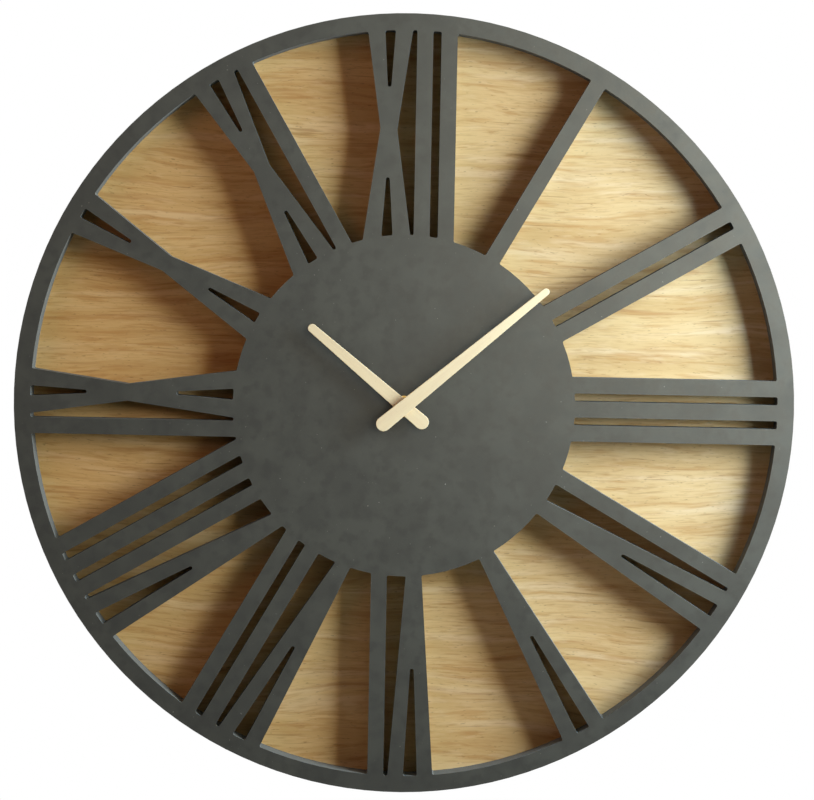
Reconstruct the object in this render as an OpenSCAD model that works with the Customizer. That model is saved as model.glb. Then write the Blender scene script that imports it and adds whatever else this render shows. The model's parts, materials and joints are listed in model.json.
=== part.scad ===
// Wall clock: a thick board cut through in fretwork Roman numerals, on an oak panel.
// The dial faces -Y, XII is at +Z, and the wall is the plane Y = 0.
// Depths are measured forwards from the wall, so a depth of d lies at Y = -d.

/* [Dial] */
// Outer diameter of the clock
clock_d = 600; // [450:5:800]
// Width of the plain outer rim
rim_w = 12.7; // [10:0.1:24]
// Diameter of the plain disc behind the hands
hub_d = 263; // [220:1:300]
// Thickness of the graphite fibreboard dial
dial_t = 16; // [13:0.5:20]
// Board left in front of the movement's pocket
web_t = 3; // [2:0.5:5]
// Radius that the cutter leaves in every inside corner
corner_r = 1.4; // [0.8:0.1:1.8]

/* [Numerals] */
// Width of an upright stroke
stroke_w = 12.3; // [9:0.1:15]
// Gap between two upright strokes
slot_w = 6.2; // [4:0.1:8]
// Gap at the rim between a slanted letter and its neighbour
letter_gap = 3.2; // [3:0.1:6]
// Width of the V at the rim
v_top_w = 35; // [28:0.5:42]
// Width of the V at the hub disc
v_foot_w = 12.3; // [9:0.1:16]
// Width of the V's notch at the rim
v_notch_w = 10.8; // [8:0.1:14]
// Length of the V's notch to its sharp point
v_notch_l = 111.5; // [70:0.5:125]
// Width of the X at the rim
x_top_w = 34.5; // [28:0.5:42]
// Width of the X at its waist
x_waist_w = 12.9; // [9:0.1:16]
// Width of the X at the hub disc
x_foot_w = 35.7; // [28:0.1:42]
// Width of the X's notch at the rim
x_notch_top_w = 8.1; // [6:0.1:10]
// Width of the X's notch at the hub disc
x_notch_foot_w = 8.5; // [6:0.1:10]
// Length of the X's notch at the rim to its sharp point
x_notch_top_l = 64; // [40:0.5:68]
// Length of the X's notch at the hub disc to its sharp point
x_notch_foot_l = 63; // [40:0.5:68]

/* [Body] */
// Thickness of the oak veneered back panel
panel_t = 3; // [2:0.5:6]
// Thickness of the soft pads between panel and wall
pad_t = 6; // [5.5:0.5:12]
// Diameter of a wall pad
pad_d = 22; // [12:1:40]
// Diameter of the circle that the pads sit on
pad_circle_d = 500; // [350:5:560]
// Number of wall pads
pad_count = 4; // [3:1:8]

/* [Hands] */
// Distance from the axis to the centre of the minute hand's round tip
minute_reach = 139.2; // [100:1:220]
// Distance from the axis to the centre of the minute hand's round tail
minute_tail = 20.1; // [14:0.5:40]
// Width of the minute hand at its tail
minute_tail_w = 11.3; // [9:0.1:16]
// Width of the minute hand at its tip
minute_tip_w = 5.5; // [3:0.1:10]
// Distance from the axis to the centre of the hour hand's round tip
hour_reach = 92.4; // [60:1:150]
// Distance from the axis to the centre of the hour hand's round tail
hour_tail = 17.9; // [14:0.5:40]
// Width of the hour hand at its tail
hour_tail_w = 11; // [9:0.1:16]
// Width of the hour hand at its tip
hour_tip_w = 6.5; // [3:0.1:10]
// Thickness of each wooden hand
hand_t = 2; // [1:0.5:3]
// Height of the hour hand's back above the dial
hour_lift = 7.5; // [7:0.1:12]
// Clear space between the two hands
hand_gap = 2.5; // [2:0.1:6]
// Bearing of the minute hand, clockwise from XII
minute_bearing = 49.8; // [0:0.1:360]
// Bearing of the hour hand, clockwise from XII
hour_bearing = 309.6; // [0:0.1:360]

/* [Movement] */
// Width and height of the movement's case
case_w = 56; // [54:0.5:64]
// Depth of the movement's case
case_t = 16; // [16:0.5:20]
// Wall of the movement's case
case_wall = 1.5; // [1:0.1:2]
// Front wall of the movement's case
case_front_wall = 1.2; // [1:0.1:2]
// Outside corner radius of the case
case_corner_r = 4; // [2:0.5:8]
// Radius of the threaded centre bush
bush_r = 4; // [3.7:0.1:5]
// Height of the bush above the dial
bush_rise = 5; // [4:0.1:6]
// Radius of the hour pipe
pipe_r = 2.55; // [2.3:0.05:3]
// Radius of the minute shaft
minute_shaft_r = 1.7; // [1.2:0.05:1.8]
// Radius of the brass washer on the dial
washer_r = 8.2; // [7.5:0.1:14]
// Thickness of the brass washer
washer_t = 0.6; // [0.4:0.1:1]
// Width across the flats of the brass nut
nut_flats = 11; // [10:0.5:14]
// Thickness of the nut
nut_t = 2.4; // [1.5:0.1:3]
// Thickness of the rubber washer behind the dial
rubber_t = 1; // [0.5:0.1:2]
// Diameter of the AA cell
cell_d = 14.2; // [13.5:0.1:14.5]
// Length of the AA cell's can
cell_l = 49.2; // [48:0.1:49.5]

/* [Wheels] */
// Module of the cannon pinion and the motion wheel
motion_module = 0.36; // [0.34:0.01:0.38]
// Module of the train from the rotor to the minute wheel
train_module = 0.18; // [0.16:0.01:0.185]
// Backlash at the pitch circle
backlash = 0.06; // [0.04:0.01:0.12]
// Radial clearance of a turning fit
run_gap = 0.05; // [0.02:0.01:0.09]

/* [Hanger] */
// Width of the keyhole plate
hanger_w = 62; // [56:1:80]
// Height of the keyhole plate
hanger_h = 24; // [22:1:30]
// Thickness of the plate's steel
hanger_t = 1.2; // [0.8:0.1:1.5]
// Radius of the keyhole's entry
keyhole_r = 4.5; // [3.5:0.1:6]
// Width of the keyhole's slot
key_slot_w = 4.4; // [3:0.1:5]
// Rise of the slot above the entry
key_slot_rise = 9; // [7:0.5:12]
// Radius of the screws that hold the plate
hanger_screw_r = 1.5; // [1:0.1:2]

/* [Hidden] */
$fn = 96;

// Overrun of every cut past the face it leaves
cut = 0.5;
// Gap between pieces that are laid side by side
lay_gap = 0.4;

// Radii of the dial
clock_r = clock_d / 2;
rim_r = clock_r - rim_w;
hub_r = hub_d / 2;
// Height of the X's waist between the hub disc and the rim
waist_share = 0.52;
waist_r = hub_r + (rim_r - hub_r) * waist_share;

// Depths of the layers, from the wall forwards
panel_back = pad_t;
panel_front = panel_back + panel_t;
dial_front = panel_front + dial_t;

// One letter per upright or slanted stroke group, from I to XII
NUMERALS = ["I", "II", "III", "IV", "V", "VI", "VII", "VIII", "IX", "X", "XI", "XII"];
// Sideways set of each numeral from its hour line, as shares of a stroke
set_shares = [0, 0, 0, -0.12, 0, 0.28, -0.03, 0.17, -0.53, 0, 0.5, 0.57];
hours = len(NUMERALS);
hour_angle = 360 / hours;

function rot2(p, a) = [p.x * cos(a) - p.y * sin(a), p.x * sin(a) + p.y * cos(a)];
function unit(v) = v / norm(v);
function polar(r, a) = [r * cos(a), r * sin(a)];
function bearing(v) = atan2(v.y, v.x);
function total(list, k) = k < 1 ? 0 : list[k - 1] + total(list, k - 1);

// Half width of a letter where it meets its neighbour
function letter_half(c) = c == "V" ? v_top_w / 2 : c == "X" ? x_top_w / 2 : stroke_w / 2;
// Distance between the centres of two letters that stand side by side
function letter_pitch(a, b) =
    letter_half(a) + letter_half(b) + (a == "I" && b == "I" ? slot_w : letter_gap);
function pitches(word) = len(word) < 2 ? [] :
    [for (k = [1 : len(word) - 1]) letter_pitch(word[k - 1], word[k])];
// Place of letter k of a numeral, sideways from the hour line
function letter_x(hour, k) = let (p = pitches(NUMERALS[hour]))
    total(p, k) - total(p, len(p)) / 2 + set_shares[hour] * stroke_w;

// Outline of one side of a letter from the hub disc to the rim; side is 1 or -1
function letter_side(c, side) =
    c == "V" ? [[side * v_foot_w / 2, hub_r], [side * v_top_w / 2, rim_r]] :
    c == "X" ? [[side * x_foot_w / 2, hub_r], [side * x_waist_w / 2, waist_r],
                [side * x_top_w / 2, rim_r]] :
    [[side * stroke_w / 2, hub_r], [side * stroke_w / 2, rim_r]];
// The same side in its place on the dial
function placed_side(hour, k, side) =
    [for (p = letter_side(NUMERALS[hour][k], side))
        rot2(p + [letter_x(hour, k), 0], -hour_angle * (hour + 1))];

// Centre of the cutter in the corner between line a-b and the circle of radius r.
// n is the line's normal into the opening.
function corner_centre(a, b, n, r) = let (
        t = unit(b - a),
        q = a + n * corner_r,
        along = q * t)
    q + t * (-along + sqrt(along * along - q * q + r * r));
// Points of an arc about c between two bearings, the short way round
function arc_points(c, r, from, to) = let (
        turn = (to - from + 540) % 360 - 180,
        steps = 7)
    [for (k = [0 : steps]) c + polar(r, from + turn * k / steps)];
// Points of a wide arc about the dial's centre
function wide_arc(r, p, q) = let (
        from = bearing(p),
        turn = (bearing(q) - from + 540) % 360 - 180,
        steps = ceil(abs(turn) / 4) + 1)
    [for (k = [0 : steps]) polar(r / cos(turn / steps / 2), from + turn * k / steps)];

// The corner circles cross the rim and the hub disc by this much
corner_cross = 0.02 * corner_r;
// Opening between a left and a right side, each listed from the hub disc to the rim
function opening(left, right) = let (
        nl = len(left),
        nr = len(right),
        n_low_l = rot2(unit(left[1] - left[0]), -90),
        n_top_l = rot2(unit(left[nl - 1] - left[nl - 2]), -90),
        n_low_r = rot2(unit(right[1] - right[0]), 90),
        n_top_r = rot2(unit(right[nr - 1] - right[nr - 2]), 90),
        in_r = hub_r + corner_r - corner_cross,
        out_r = rim_r - corner_r + corner_cross,
        c1 = corner_centre(left[0], left[1], n_low_l, in_r),
        c2 = corner_centre(left[nl - 2], left[nl - 1], n_top_l, out_r),
        c3 = corner_centre(right[nr - 2], right[nr - 1], n_top_r, out_r),
        c4 = corner_centre(right[0], right[1], n_low_r, in_r))
    concat(
        arc_points(c1, corner_r, bearing(-c1), bearing(-n_low_l)),
        nl > 2 ? [left[1]] : [],
        arc_points(c2, corner_r, bearing(-n_top_l), bearing(c2)),
        wide_arc(rim_r + corner_r, c2, c3),
        arc_points(c3, corner_r, bearing(c3), bearing(-n_top_r)),
        nr > 2 ? [right[1]] : [],
        arc_points(c4, corner_r, bearing(-n_low_r), bearing(-c4)),
        wide_arc(hub_r - corner_r, c4, c1));
// Wedge notch that narrows to a round end; up is 1 at the rim and -1 at the hub disc
function notch(x, w, l, up) = let (
        base_r = up > 0 ? rim_r : hub_r,
        apex = [x, base_r - up * l],
        slope = atan2(w / 2, l),
        tip = apex + [0, up * corner_r / sin(slope)],
        n_l = up > 0 ? rot2([-sin(slope), cos(slope)], -90) : rot2([sin(slope), cos(slope)], -90),
        n_r = [-n_l.x, n_l.y],
        edge_r = base_r - up * (corner_r - corner_cross),
        far_l = [x - w / 2, base_r],
        far_r = [x + w / 2, base_r],
        c_l = up > 0 ? corner_centre(apex, far_l, n_l, edge_r) : corner_centre(far_l, apex, n_l, edge_r),
        c_r = up > 0 ? corner_centre(apex, far_r, n_r, edge_r) : corner_centre(far_r, apex, n_r, edge_r),
        half = [for (k = [0 : 12]) tip + polar(corner_r,
            bearing(-n_l) + up * (180 - 2 * slope) * k / 12)])
    concat(
        arc_points(c_l, corner_r, bearing(up * c_l), bearing(-n_l)),
        half,
        arc_points(c_r, corner_r, bearing(-n_r), bearing(up * c_r)),
        wide_arc(base_r + up * corner_r, c_r, c_l));

// Flat piece drawn from the front, with its back at depth back
module layer(back, thick) {
    translate([0, -back, 0]) rotate([90, 0, 0]) linear_extrude(thick) children();
}
// Round piece on the axis through (x, z), from depth back forwards
module post(x, z, back, r, h) {
    translate([x, -back, z]) rotate([90, 0, 0]) cylinder(r = r, h = h);
}
module rounded_square(w, h, r) {
    square([w - 2 * r, h], center = true);
    square([w, h - 2 * r], center = true);
    for (x = [-1, 1], z = [-1, 1])
        translate([x * (w / 2 - r), z * (h / 2 - r)]) circle(r);
}

// Every opening cut through the dial between the hub disc and the rim
module dial_openings() {
    for (hour = [0 : hours - 1]) {
        word = NUMERALS[hour];
        last = len(word) - 1;
        next = (hour + 1) % hours;
        polygon(opening(placed_side(hour, last, 1), placed_side(next, 0, -1)));
        if (last > 0)
            for (k = [1 : last])
                polygon(opening(placed_side(hour, k - 1, 1), placed_side(hour, k, -1)));
        rotate(-hour_angle * (hour + 1))
            for (k = [0 : last]) {
                if (word[k] == "V") polygon(notch(letter_x(hour, k), v_notch_w, v_notch_l, 1));
                if (word[k] == "X") {
                    polygon(notch(letter_x(hour, k), x_notch_top_w, x_notch_top_l, 1));
                    polygon(notch(letter_x(hour, k), x_notch_foot_w, x_notch_foot_l, -1));
                }
            }
    }
}
// Room for the movement's case through the panel and into the dial
module movement_window() {
    rounded_square(case_w + 2 * lay_gap, case_w + 2 * lay_gap, case_corner_r);
}
module front_dial() {
    color("#565850") difference() {
        layer(panel_front, dial_t) difference() {
            circle(clock_r, $fn = 360);
            intersection() {
                dial_openings();
                difference() {
                    circle(rim_r, $fn = 360);
                    circle(hub_r, $fn = 360);
                }
            }
            circle(bush_r + lay_gap);
        }
        layer(panel_front - cut, dial_t - web_t + cut) movement_window();
        screw_holes(panel_front, screw_bite - cut);
    }
}
module back_panel() {
    color("#c9a46c") difference() {
        layer(panel_back, panel_t) difference() {
            circle(clock_r, $fn = 360);
            movement_window();
        }
        screw_holes(panel_back, panel_t);
    }
}

// Wall pads: soft buttons with a drawn-in foot
pad_taper = 1.5;
pad_foot_share = 0.35;
module wall_pads() {
    color("#2a2a2b")
        for (k = [0 : pad_count - 1])
            rotate([0, 45 + k * 360 / pad_count, 0]) translate([0, 0, pad_circle_d / 2])
                rotate([90, 0, 0]) {
                    cylinder(d1 = pad_d - 2 * pad_taper, d2 = pad_d, h = pad_t * pad_foot_share);
                    translate([0, 0, pad_t * pad_foot_share])
                        cylinder(d = pad_d, h = pad_t * (1 - pad_foot_share));
                }
}

// Keyhole plate: flanges against the panel and a raised face for the screw's head
hanger_rise = 4.6;
hanger_box_w = 30;
hanger_r = 2;
hanger_edge = 3.8;
hanger_mid_z = clock_r - hanger_edge - hanger_h / 2;
hanger_face_back = pad_t - hanger_rise;
hanger_screw_x = (hanger_w + hanger_box_w) / 4;
hanger_screw_z = sqrt(pow(rim_r + rim_w / 2, 2) - pow(hanger_screw_x, 2));
keyhole_z = hanger_mid_z - (key_slot_rise - keyhole_r) / 2;
module hanger_plate() {
    color("#b9bcc0") difference() {
        union() {
            translate([0, 0, hanger_mid_z]) layer(pad_t - hanger_t, hanger_t)
                rounded_square(hanger_w, hanger_h, hanger_r);
            translate([0, 0, hanger_mid_z]) layer(hanger_face_back, hanger_rise)
                rounded_square(hanger_box_w, hanger_h, hanger_r);
        }
        translate([0, 0, hanger_mid_z]) layer(hanger_face_back + hanger_t, hanger_rise)
            rounded_square(hanger_box_w - 2 * hanger_t, hanger_h - 2 * hanger_t, hanger_r - hanger_t / 2);
        post(0, keyhole_z, hanger_face_back - cut, keyhole_r, hanger_t + 2 * cut);
        translate([0, 0, keyhole_z]) layer(hanger_face_back - cut, hanger_t + 2 * cut) {
            translate([-key_slot_w / 2, 0]) square([key_slot_w, key_slot_rise]);
            translate([0, key_slot_rise]) circle(d = key_slot_w);
        }
        screw_holes(pad_t - hanger_t, hanger_t);
    }
}
// Holes of the plate's two screws, through a layer from depth back
module screw_holes(back, h) {
    for (side = [-1, 1])
        post(side * hanger_screw_x, hanger_screw_z, back - cut, hanger_screw_r, h + 2 * cut);
}
// Round-head screws through the flanges and the panel into the dial's rim
screw_head_r = 3;
screw_head_t = 1.8;
screw_bite = 6;
module hanger_screws() {
    color("#c9b56a")
        for (side = [-1, 1]) {
            post(side * hanger_screw_x, hanger_screw_z, pad_t - hanger_t - screw_head_t, screw_head_r,
                screw_head_t);
            post(side * hanger_screw_x, hanger_screw_z, pad_t - hanger_t, hanger_screw_r,
                hanger_t + panel_t + screw_bite);
        }
}

// Depths inside the movement, from its front wall backwards
case_front = dial_front - web_t - rubber_t;
case_back = case_front - case_t;
cavity_front = case_front - case_front_wall;
cover_t = 1.6;
cover_front = case_back + cover_t;
inner_half = case_w / 2 - case_wall;
cell_gap = 0.3;
// The cell's bay along the bottom of the case, and the wall above it
bay_h = cell_d + 2 * cell_gap;
bay_top = -inner_half + bay_h;
bay_wall = 1.2;
contact_t = 0.4;
contact_w = 4;
// Thickness of the toothed wheels and of the air between two of them
wheel_t = 1;
hour_wheel_t = 1.2;
wheel_air = 0.6;
pinion_air = 0.7;
plate_air = 0.3;
hour_wheel_back = cavity_front - wheel_air - hour_wheel_t;
motion_wheel_back = hour_wheel_back - pinion_air - wheel_t;
middle_t = 1;
middle_back = motion_wheel_back - plate_air - middle_t;
minute_wheel_back = middle_back - wheel_air - wheel_t;
third_pinion_t = 1;
third_wheel_back = minute_wheel_back - third_pinion_t - wheel_t;
rotor_air = 0.8;
rotor_back = cover_front + rotor_air;
rotor_t = 2.6;
rotor_r = 3;
pivot_r = 0.5;
pivot_depth_share = 0.6;
minute_seat_r = 1.3;
// Play along an arbor between its shoulder and its bearing
end_shake = 0.1;

// Tooth counts
cannon_teeth = 12;
motion_teeth = 36;
motion_pinion_teeth = 12;
hour_teeth = 48;
minute_teeth = 80;
third_pinion_teeth = 8;
third_teeth = 72;
rotor_pinion_teeth = 8;
// The hour pair keeps the same centre distance as the motion pair
motion_distance = motion_module * (cannon_teeth + motion_teeth) / 2;
hour_module = 2 * motion_distance / (motion_pinion_teeth + hour_teeth);
third_distance = train_module * (minute_teeth + third_pinion_teeth) / 2;
rotor_distance = train_module * (third_teeth + rotor_pinion_teeth) / 2;
third_bearing = 135;
rotor_bearing = 45;
third_at = polar(third_distance, third_bearing);
rotor_at = third_at + polar(rotor_distance, rotor_bearing);
motion_at = [motion_distance, 0];

// Tooth shape: radii from the pitch circle in modules, and widths as shares of the pitch width
wheel_reach_shares = [-1.2, 0, 0.45, 0.8];
wheel_width_shares = [1.25, 1, 0.72, 0.35];
leaf_reach_shares = [-1.3, 0, 0.45, 0.75];
leaf_width_shares = [0.6, 1, 0.75, 0.4];
// Outline of a gear whose tooth 0 points at the bearing start
function gear_points(teeth, m, start, reaches, widths) = let (
        pitch_r = teeth * m / 2,
        half = (PI * m / 4 - backlash / 4) / pitch_r * 180 / PI,
        rows = len(reaches))
    [for (k = [0 : teeth - 1], row = [0 : 2 * rows - 1]) let (
            j = row < rows ? row : 2 * rows - 1 - row,
            side = row < rows ? -1 : 1)
        polar(pitch_r + reaches[j] * m, start + k * 360 / teeth + side * half * widths[j])];
module wheel_2d(teeth, m, start) {
    polygon(gear_points(teeth, m, start, wheel_reach_shares, wheel_width_shares));
}
module leaf_2d(teeth, m, start) {
    polygon(gear_points(teeth, m, start, leaf_reach_shares, leaf_width_shares));
}

// Case moulding: four walls, a front wall, and a wall over the cell's bay
post_r = 1.6;
post_inset = 2;
// Edges of the middle plate, from the case's inner walls
plate_left_gap = 10.5;
plate_right_gap = 6.5;
plate_low_gap = 1.9;
plate_high_gap = 0.6;
plate_left = -inner_half + plate_left_gap;
plate_right = inner_half - plate_right_gap;
plate_low = bay_top + plate_low_gap;
// Circuit board along the top of the case
board_t = 1;
board_h = 10;
board_front = middle_back;
board_half = inner_half - contact_t;
board_top_gap = 1.3;
board_post_inset = 5.1;
board_post_x = board_half - board_post_inset;
board_z = inner_half - board_top_gap - board_h;
plate_high = board_z - plate_high_gap;
plate_corners = [for (x = [plate_left + post_inset, plate_right - post_inset],
    z = [plate_low + post_inset, plate_high - post_inset]) [x, z]];
board_posts = [for (side = [-1, 1]) [side * board_post_x, board_z + board_h / 2]];
cell_depth = cavity_front - cell_gap - cell_d / 2;
cell_z = -inner_half + cell_gap + cell_d / 2;
module movement_case() {
    color("#26272a") {
        difference() {
            layer(cover_front, case_front - cover_front)
                rounded_square(case_w, case_w, case_corner_r);
            layer(cover_front - cut, cavity_front - cover_front + cut)
                rounded_square(2 * inner_half, 2 * inner_half, case_corner_r - case_wall);
            post(0, 0, cavity_front - cut, bush_r, case_front_wall + 2 * cut);
            post(motion_at.x, motion_at.y, cavity_front - cut, pivot_r + run_gap,
                case_front_wall * pivot_depth_share + cut);
        }
        layer(cover_front, cavity_front - cover_front)
            translate([-inner_half + contact_t + lay_gap, bay_top])
                square([2 * (inner_half - contact_t - lay_gap), bay_wall]);
        for (at = plate_corners)
            post(at.x, at.y, middle_back + middle_t, post_r, cavity_front - middle_back - middle_t);
        for (at = board_posts)
            post(at.x, at.y, board_front, post_r, cavity_front - board_front);
    }
}
// Rear cover with bearings for the arbors and a well for the setting knob
well_r = 7.4;
well_wall = 1;
well_floor_t = 0.8;
well_depth = 3.2;
boss_r = 1.6;
boss_front = case_back + well_depth + well_floor_t;
knob_arbor_r = 0.9;
pillar_r = 1.3;
module movement_cover() {
    color("#2b2c2f") difference() {
        union() {
            layer(case_back, cover_t) difference() {
                rounded_square(case_w, case_w, case_corner_r);
                translate([-inner_half, -inner_half]) square([2 * inner_half, bay_h]);
            }
            post(motion_at.x, motion_at.y, case_back, well_r + well_wall, well_depth + well_floor_t);
            for (at = [[0, 0], third_at])
                post(at.x, at.y, case_back, boss_r, boss_front - case_back);
            for (at = plate_corners)
                if (at.x > 0 || at.y < 0)
                    post(at.x, at.y, case_back, pillar_r, middle_back - case_back);
            for (x = [core_left + stator_leg_w / 2, core_right - stator_leg_w / 2])
                post(x, coil_z, case_back, pillar_r, stator_back - case_back);
        }
        post(motion_at.x, motion_at.y, case_back - cut, well_r, well_depth + cut);
        post(motion_at.x, motion_at.y, case_back, knob_arbor_r + run_gap, well_depth + well_floor_t + cut);
        for (at = [[0, 0], third_at])
            post(at.x, at.y, cover_front, pivot_r + run_gap, boss_front - cover_front + cut);
        post(rotor_at.x, rotor_at.y, cover_front - cover_t / 2, pivot_r + run_gap, cover_t / 2 + cut);
    }
}
// Plate between the train and the motion work
module middle_plate() {
    color("#d8d6cf") layer(middle_back, middle_t) difference() {
        translate([plate_left, plate_low]) square([plate_right - plate_left, plate_high - plate_low]);
        circle(minute_seat_r + run_gap);
        translate(motion_at) circle(knob_arbor_r + run_gap);
        translate(third_at) circle(pivot_r + run_gap);
        translate(rotor_at) circle(pivot_r + run_gap);
    }
}

// Brass bush, its flange on the case and its thread through the dial
bush_flange_r = 5.4;
bush_flange_t = 0.5;
bush_front = dial_front + bush_rise;
module centre_bush() {
    color("#c9a45a") difference() {
        union() {
            post(0, 0, cavity_front, bush_r, bush_front - cavity_front);
            post(0, 0, case_front, bush_flange_r, bush_flange_t);
        }
        post(0, 0, cavity_front - cut, pipe_r + run_gap, bush_front - cavity_front + 2 * cut);
    }
}
module ring(back, inner_r, outer_r, h) {
    difference() {
        post(0, 0, back, outer_r, h);
        post(0, 0, back - cut, inner_r, h + 2 * cut);
    }
}
rubber_r = 9;
module rubber_washer() {
    color("#1d1d1e") ring(case_front, bush_flange_r + lay_gap / 2, rubber_r, rubber_t);
}
module dial_washer() {
    color("#b08d52") ring(dial_front, bush_r, washer_r, washer_t);
}
module hex_nut() {
    color("#c2a05c") difference() {
        translate([0, -dial_front - washer_t, 0]) rotate([90, 0, 0])
            cylinder(d = nut_flats / cos(30), h = nut_t, $fn = 6);
        post(0, 0, dial_front, bush_r, washer_t + nut_t + cut);
    }
}

// AA cell with its raised pole at +X
pole_r = 2.6;
pole_h = 1.2;
cell_end = inner_half - contact_t - pole_h;
module battery() {
    color("#3f4a55") translate([cell_end, -cell_depth, cell_z]) rotate([0, -90, 0]) {
        cylinder(d = cell_d, h = cell_l);
        translate([0, 0, -pole_h]) cylinder(r = pole_r, h = pole_h);
    }
}
// Contact strips up the side walls to the circuit board
contact_top_gap = 6.5;
contact_top = inner_half - contact_top_gap;
pad_contact_w = 9;
strip_depth = board_front - board_t - contact_w + lay_gap;
module contact_strip() {
    translate([inner_half - contact_t, -strip_depth - contact_w, cell_z])
        cube([contact_t, contact_w, contact_top - cell_z]);
    translate([inner_half - contact_t, -cell_depth - pad_contact_w / 2, cell_z - pad_contact_w / 2])
        cube([contact_t, pad_contact_w, pad_contact_w]);
}
module contact_plus() {
    color("#c7cbd1") contact_strip();
}
// The minus contact carries a bowed leaf that pushes on the cell
leaf_reach = cell_end - cell_l + inner_half - contact_t;
leaf_w = 5;
module contact_minus() {
    color("#c7cbd1") {
        mirror([1, 0, 0]) contact_strip();
        translate([-inner_half + contact_t, -cell_depth, cell_z - leaf_w / 2]) linear_extrude(leaf_w)
            polygon([
                [0, leaf_w / 2], [leaf_reach, contact_t / 2], [leaf_reach, -contact_t / 2],
                [0, -leaf_w / 2], [0, -leaf_w / 2 + contact_t], [leaf_reach - contact_t, 0],
                [0, leaf_w / 2 - contact_t]]);
    }
}
chip_r = 3;
chip_t = 0.8;
chip_post_gap = 0.8;
chip_x = board_post_x - post_r - chip_post_gap - chip_r;
module circuit_board() {
    color("#2f6b46") {
        layer(board_front - board_t, board_t)
            translate([-board_half, board_z]) square([2 * board_half, board_h]);
        post(chip_x, board_z + board_h / 2, board_front - board_t - chip_t, chip_r, chip_t);
    }
}
crystal_r = 1;
crystal_l = 6;
crystal_chip_gap = 1.4;
crystal_x = chip_x - chip_r - crystal_chip_gap - crystal_l;
module quartz_crystal() {
    color("#cfd2d6")
        translate([crystal_x, -(board_front - board_t - crystal_r), board_z + board_h / 2])
            rotate([0, 90, 0]) cylinder(r = crystal_r, h = crystal_l);
}

// Stepping motor: coil on a core strip, stator legs and rotor
stator_t = 1;
stator_back = rotor_back + (rotor_t - stator_t) / 2;
stator_ring_r = 5.2;
stator_gap = 0.4;
stator_leg_w = 3.5;
coil_top_gap = 5;
coil_z = inner_half - coil_top_gap;
core_side_gap = 1;
core_left = -inner_half + core_side_gap;
core_h = 2.4;
core_right = rotor_at.x + stator_leg_w / 2;
core_depth = stator_back + stator_t + stator_t / 2;
bobbin_x = core_left + stator_leg_w + lay_gap;
bobbin_l = core_right - stator_leg_w - lay_gap - bobbin_x;
bobbin_tube_r = 1.9;
bobbin_flange_r = 3;
bobbin_flange_t = 0.8;
module stator() {
    color("#9aa0a6") layer(stator_back, stator_t) difference() {
        union() {
            translate([core_left, rotor_at.y - stator_leg_w / 2])
                square([stator_leg_w, coil_z + core_h - rotor_at.y]);
            translate([core_left, rotor_at.y - stator_leg_w / 2])
                square([rotor_at.x - core_left, stator_leg_w]);
            translate([core_right - stator_leg_w, rotor_at.y])
                square([stator_leg_w, coil_z + core_h - stator_leg_w / 2 - rotor_at.y]);
            translate(rotor_at) circle(stator_ring_r);
        }
        translate(rotor_at) circle(rotor_r + stator_gap);
    }
}
module coil_core() {
    color("#8d9298") layer(stator_back + stator_t, stator_t)
        translate([core_left, coil_z - core_h / 2]) square([core_right - core_left, core_h]);
}
// Turned piece along X, centred on the core
module on_core(x) {
    translate([x, -core_depth, coil_z]) rotate([0, 90, 0]) children();
}
module coil_bobbin() {
    color("#e6e2d6") difference() {
        union() {
            on_core(bobbin_x) cylinder(r = bobbin_tube_r, h = bobbin_l);
            on_core(bobbin_x) cylinder(r = bobbin_flange_r, h = bobbin_flange_t);
            on_core(bobbin_x + bobbin_l - bobbin_flange_t)
                cylinder(r = bobbin_flange_r, h = bobbin_flange_t);
        }
        layer(stator_back + stator_t, stator_t)
            translate([bobbin_x - cut, coil_z - core_h / 2]) square([bobbin_l + 2 * cut, core_h]);
    }
}
module coil_winding() {
    color("#b5652b") on_core(bobbin_x + bobbin_flange_t) difference() {
        cylinder(r = bobbin_flange_r - run_gap, h = bobbin_l - 2 * bobbin_flange_t);
        translate([0, 0, -cut]) cylinder(r = bobbin_tube_r, h = bobbin_l);
    }
}
rotor_arbor_back = cover_front - cover_t / 2 + end_shake;
pinion_over = 0.6;
module rotor_magnet() {
    color("#5b5e63") difference() {
        post(rotor_at.x, rotor_at.y, rotor_back, rotor_r, rotor_t);
        post(rotor_at.x, rotor_at.y, rotor_back - cut, pivot_r, rotor_t + 2 * cut);
    }
}
module rotor_pinion() {
    color("#efece4") {
        post(rotor_at.x, rotor_at.y, rotor_arbor_back, pivot_r, middle_back + middle_t - rotor_arbor_back);
        layer(third_wheel_back - pinion_over, wheel_t + 2 * pinion_over)
            translate(rotor_at)
                leaf_2d(rotor_pinion_teeth, train_module, rotor_bearing + 180 + 180 / rotor_pinion_teeth);
    }
}
arbor_back = cover_front + end_shake;
module third_wheel() {
    color("#e8e4da") {
        post(third_at.x, third_at.y, arbor_back, pivot_r, middle_back + middle_t - arbor_back);
        layer(third_wheel_back, wheel_t)
            translate(third_at) wheel_2d(third_teeth, train_module, rotor_bearing);
        layer(third_wheel_back + wheel_t, middle_back - third_wheel_back - wheel_t - end_shake)
            translate(third_at)
                leaf_2d(third_pinion_teeth, train_module, third_bearing + 180 + 180 / third_pinion_teeth);
    }
}
module minute_wheel() {
    color("#e8e4da") layer(minute_wheel_back, wheel_t) difference() {
        wheel_2d(minute_teeth, train_module, third_bearing);
        circle(minute_seat_r);
    }
}
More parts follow.
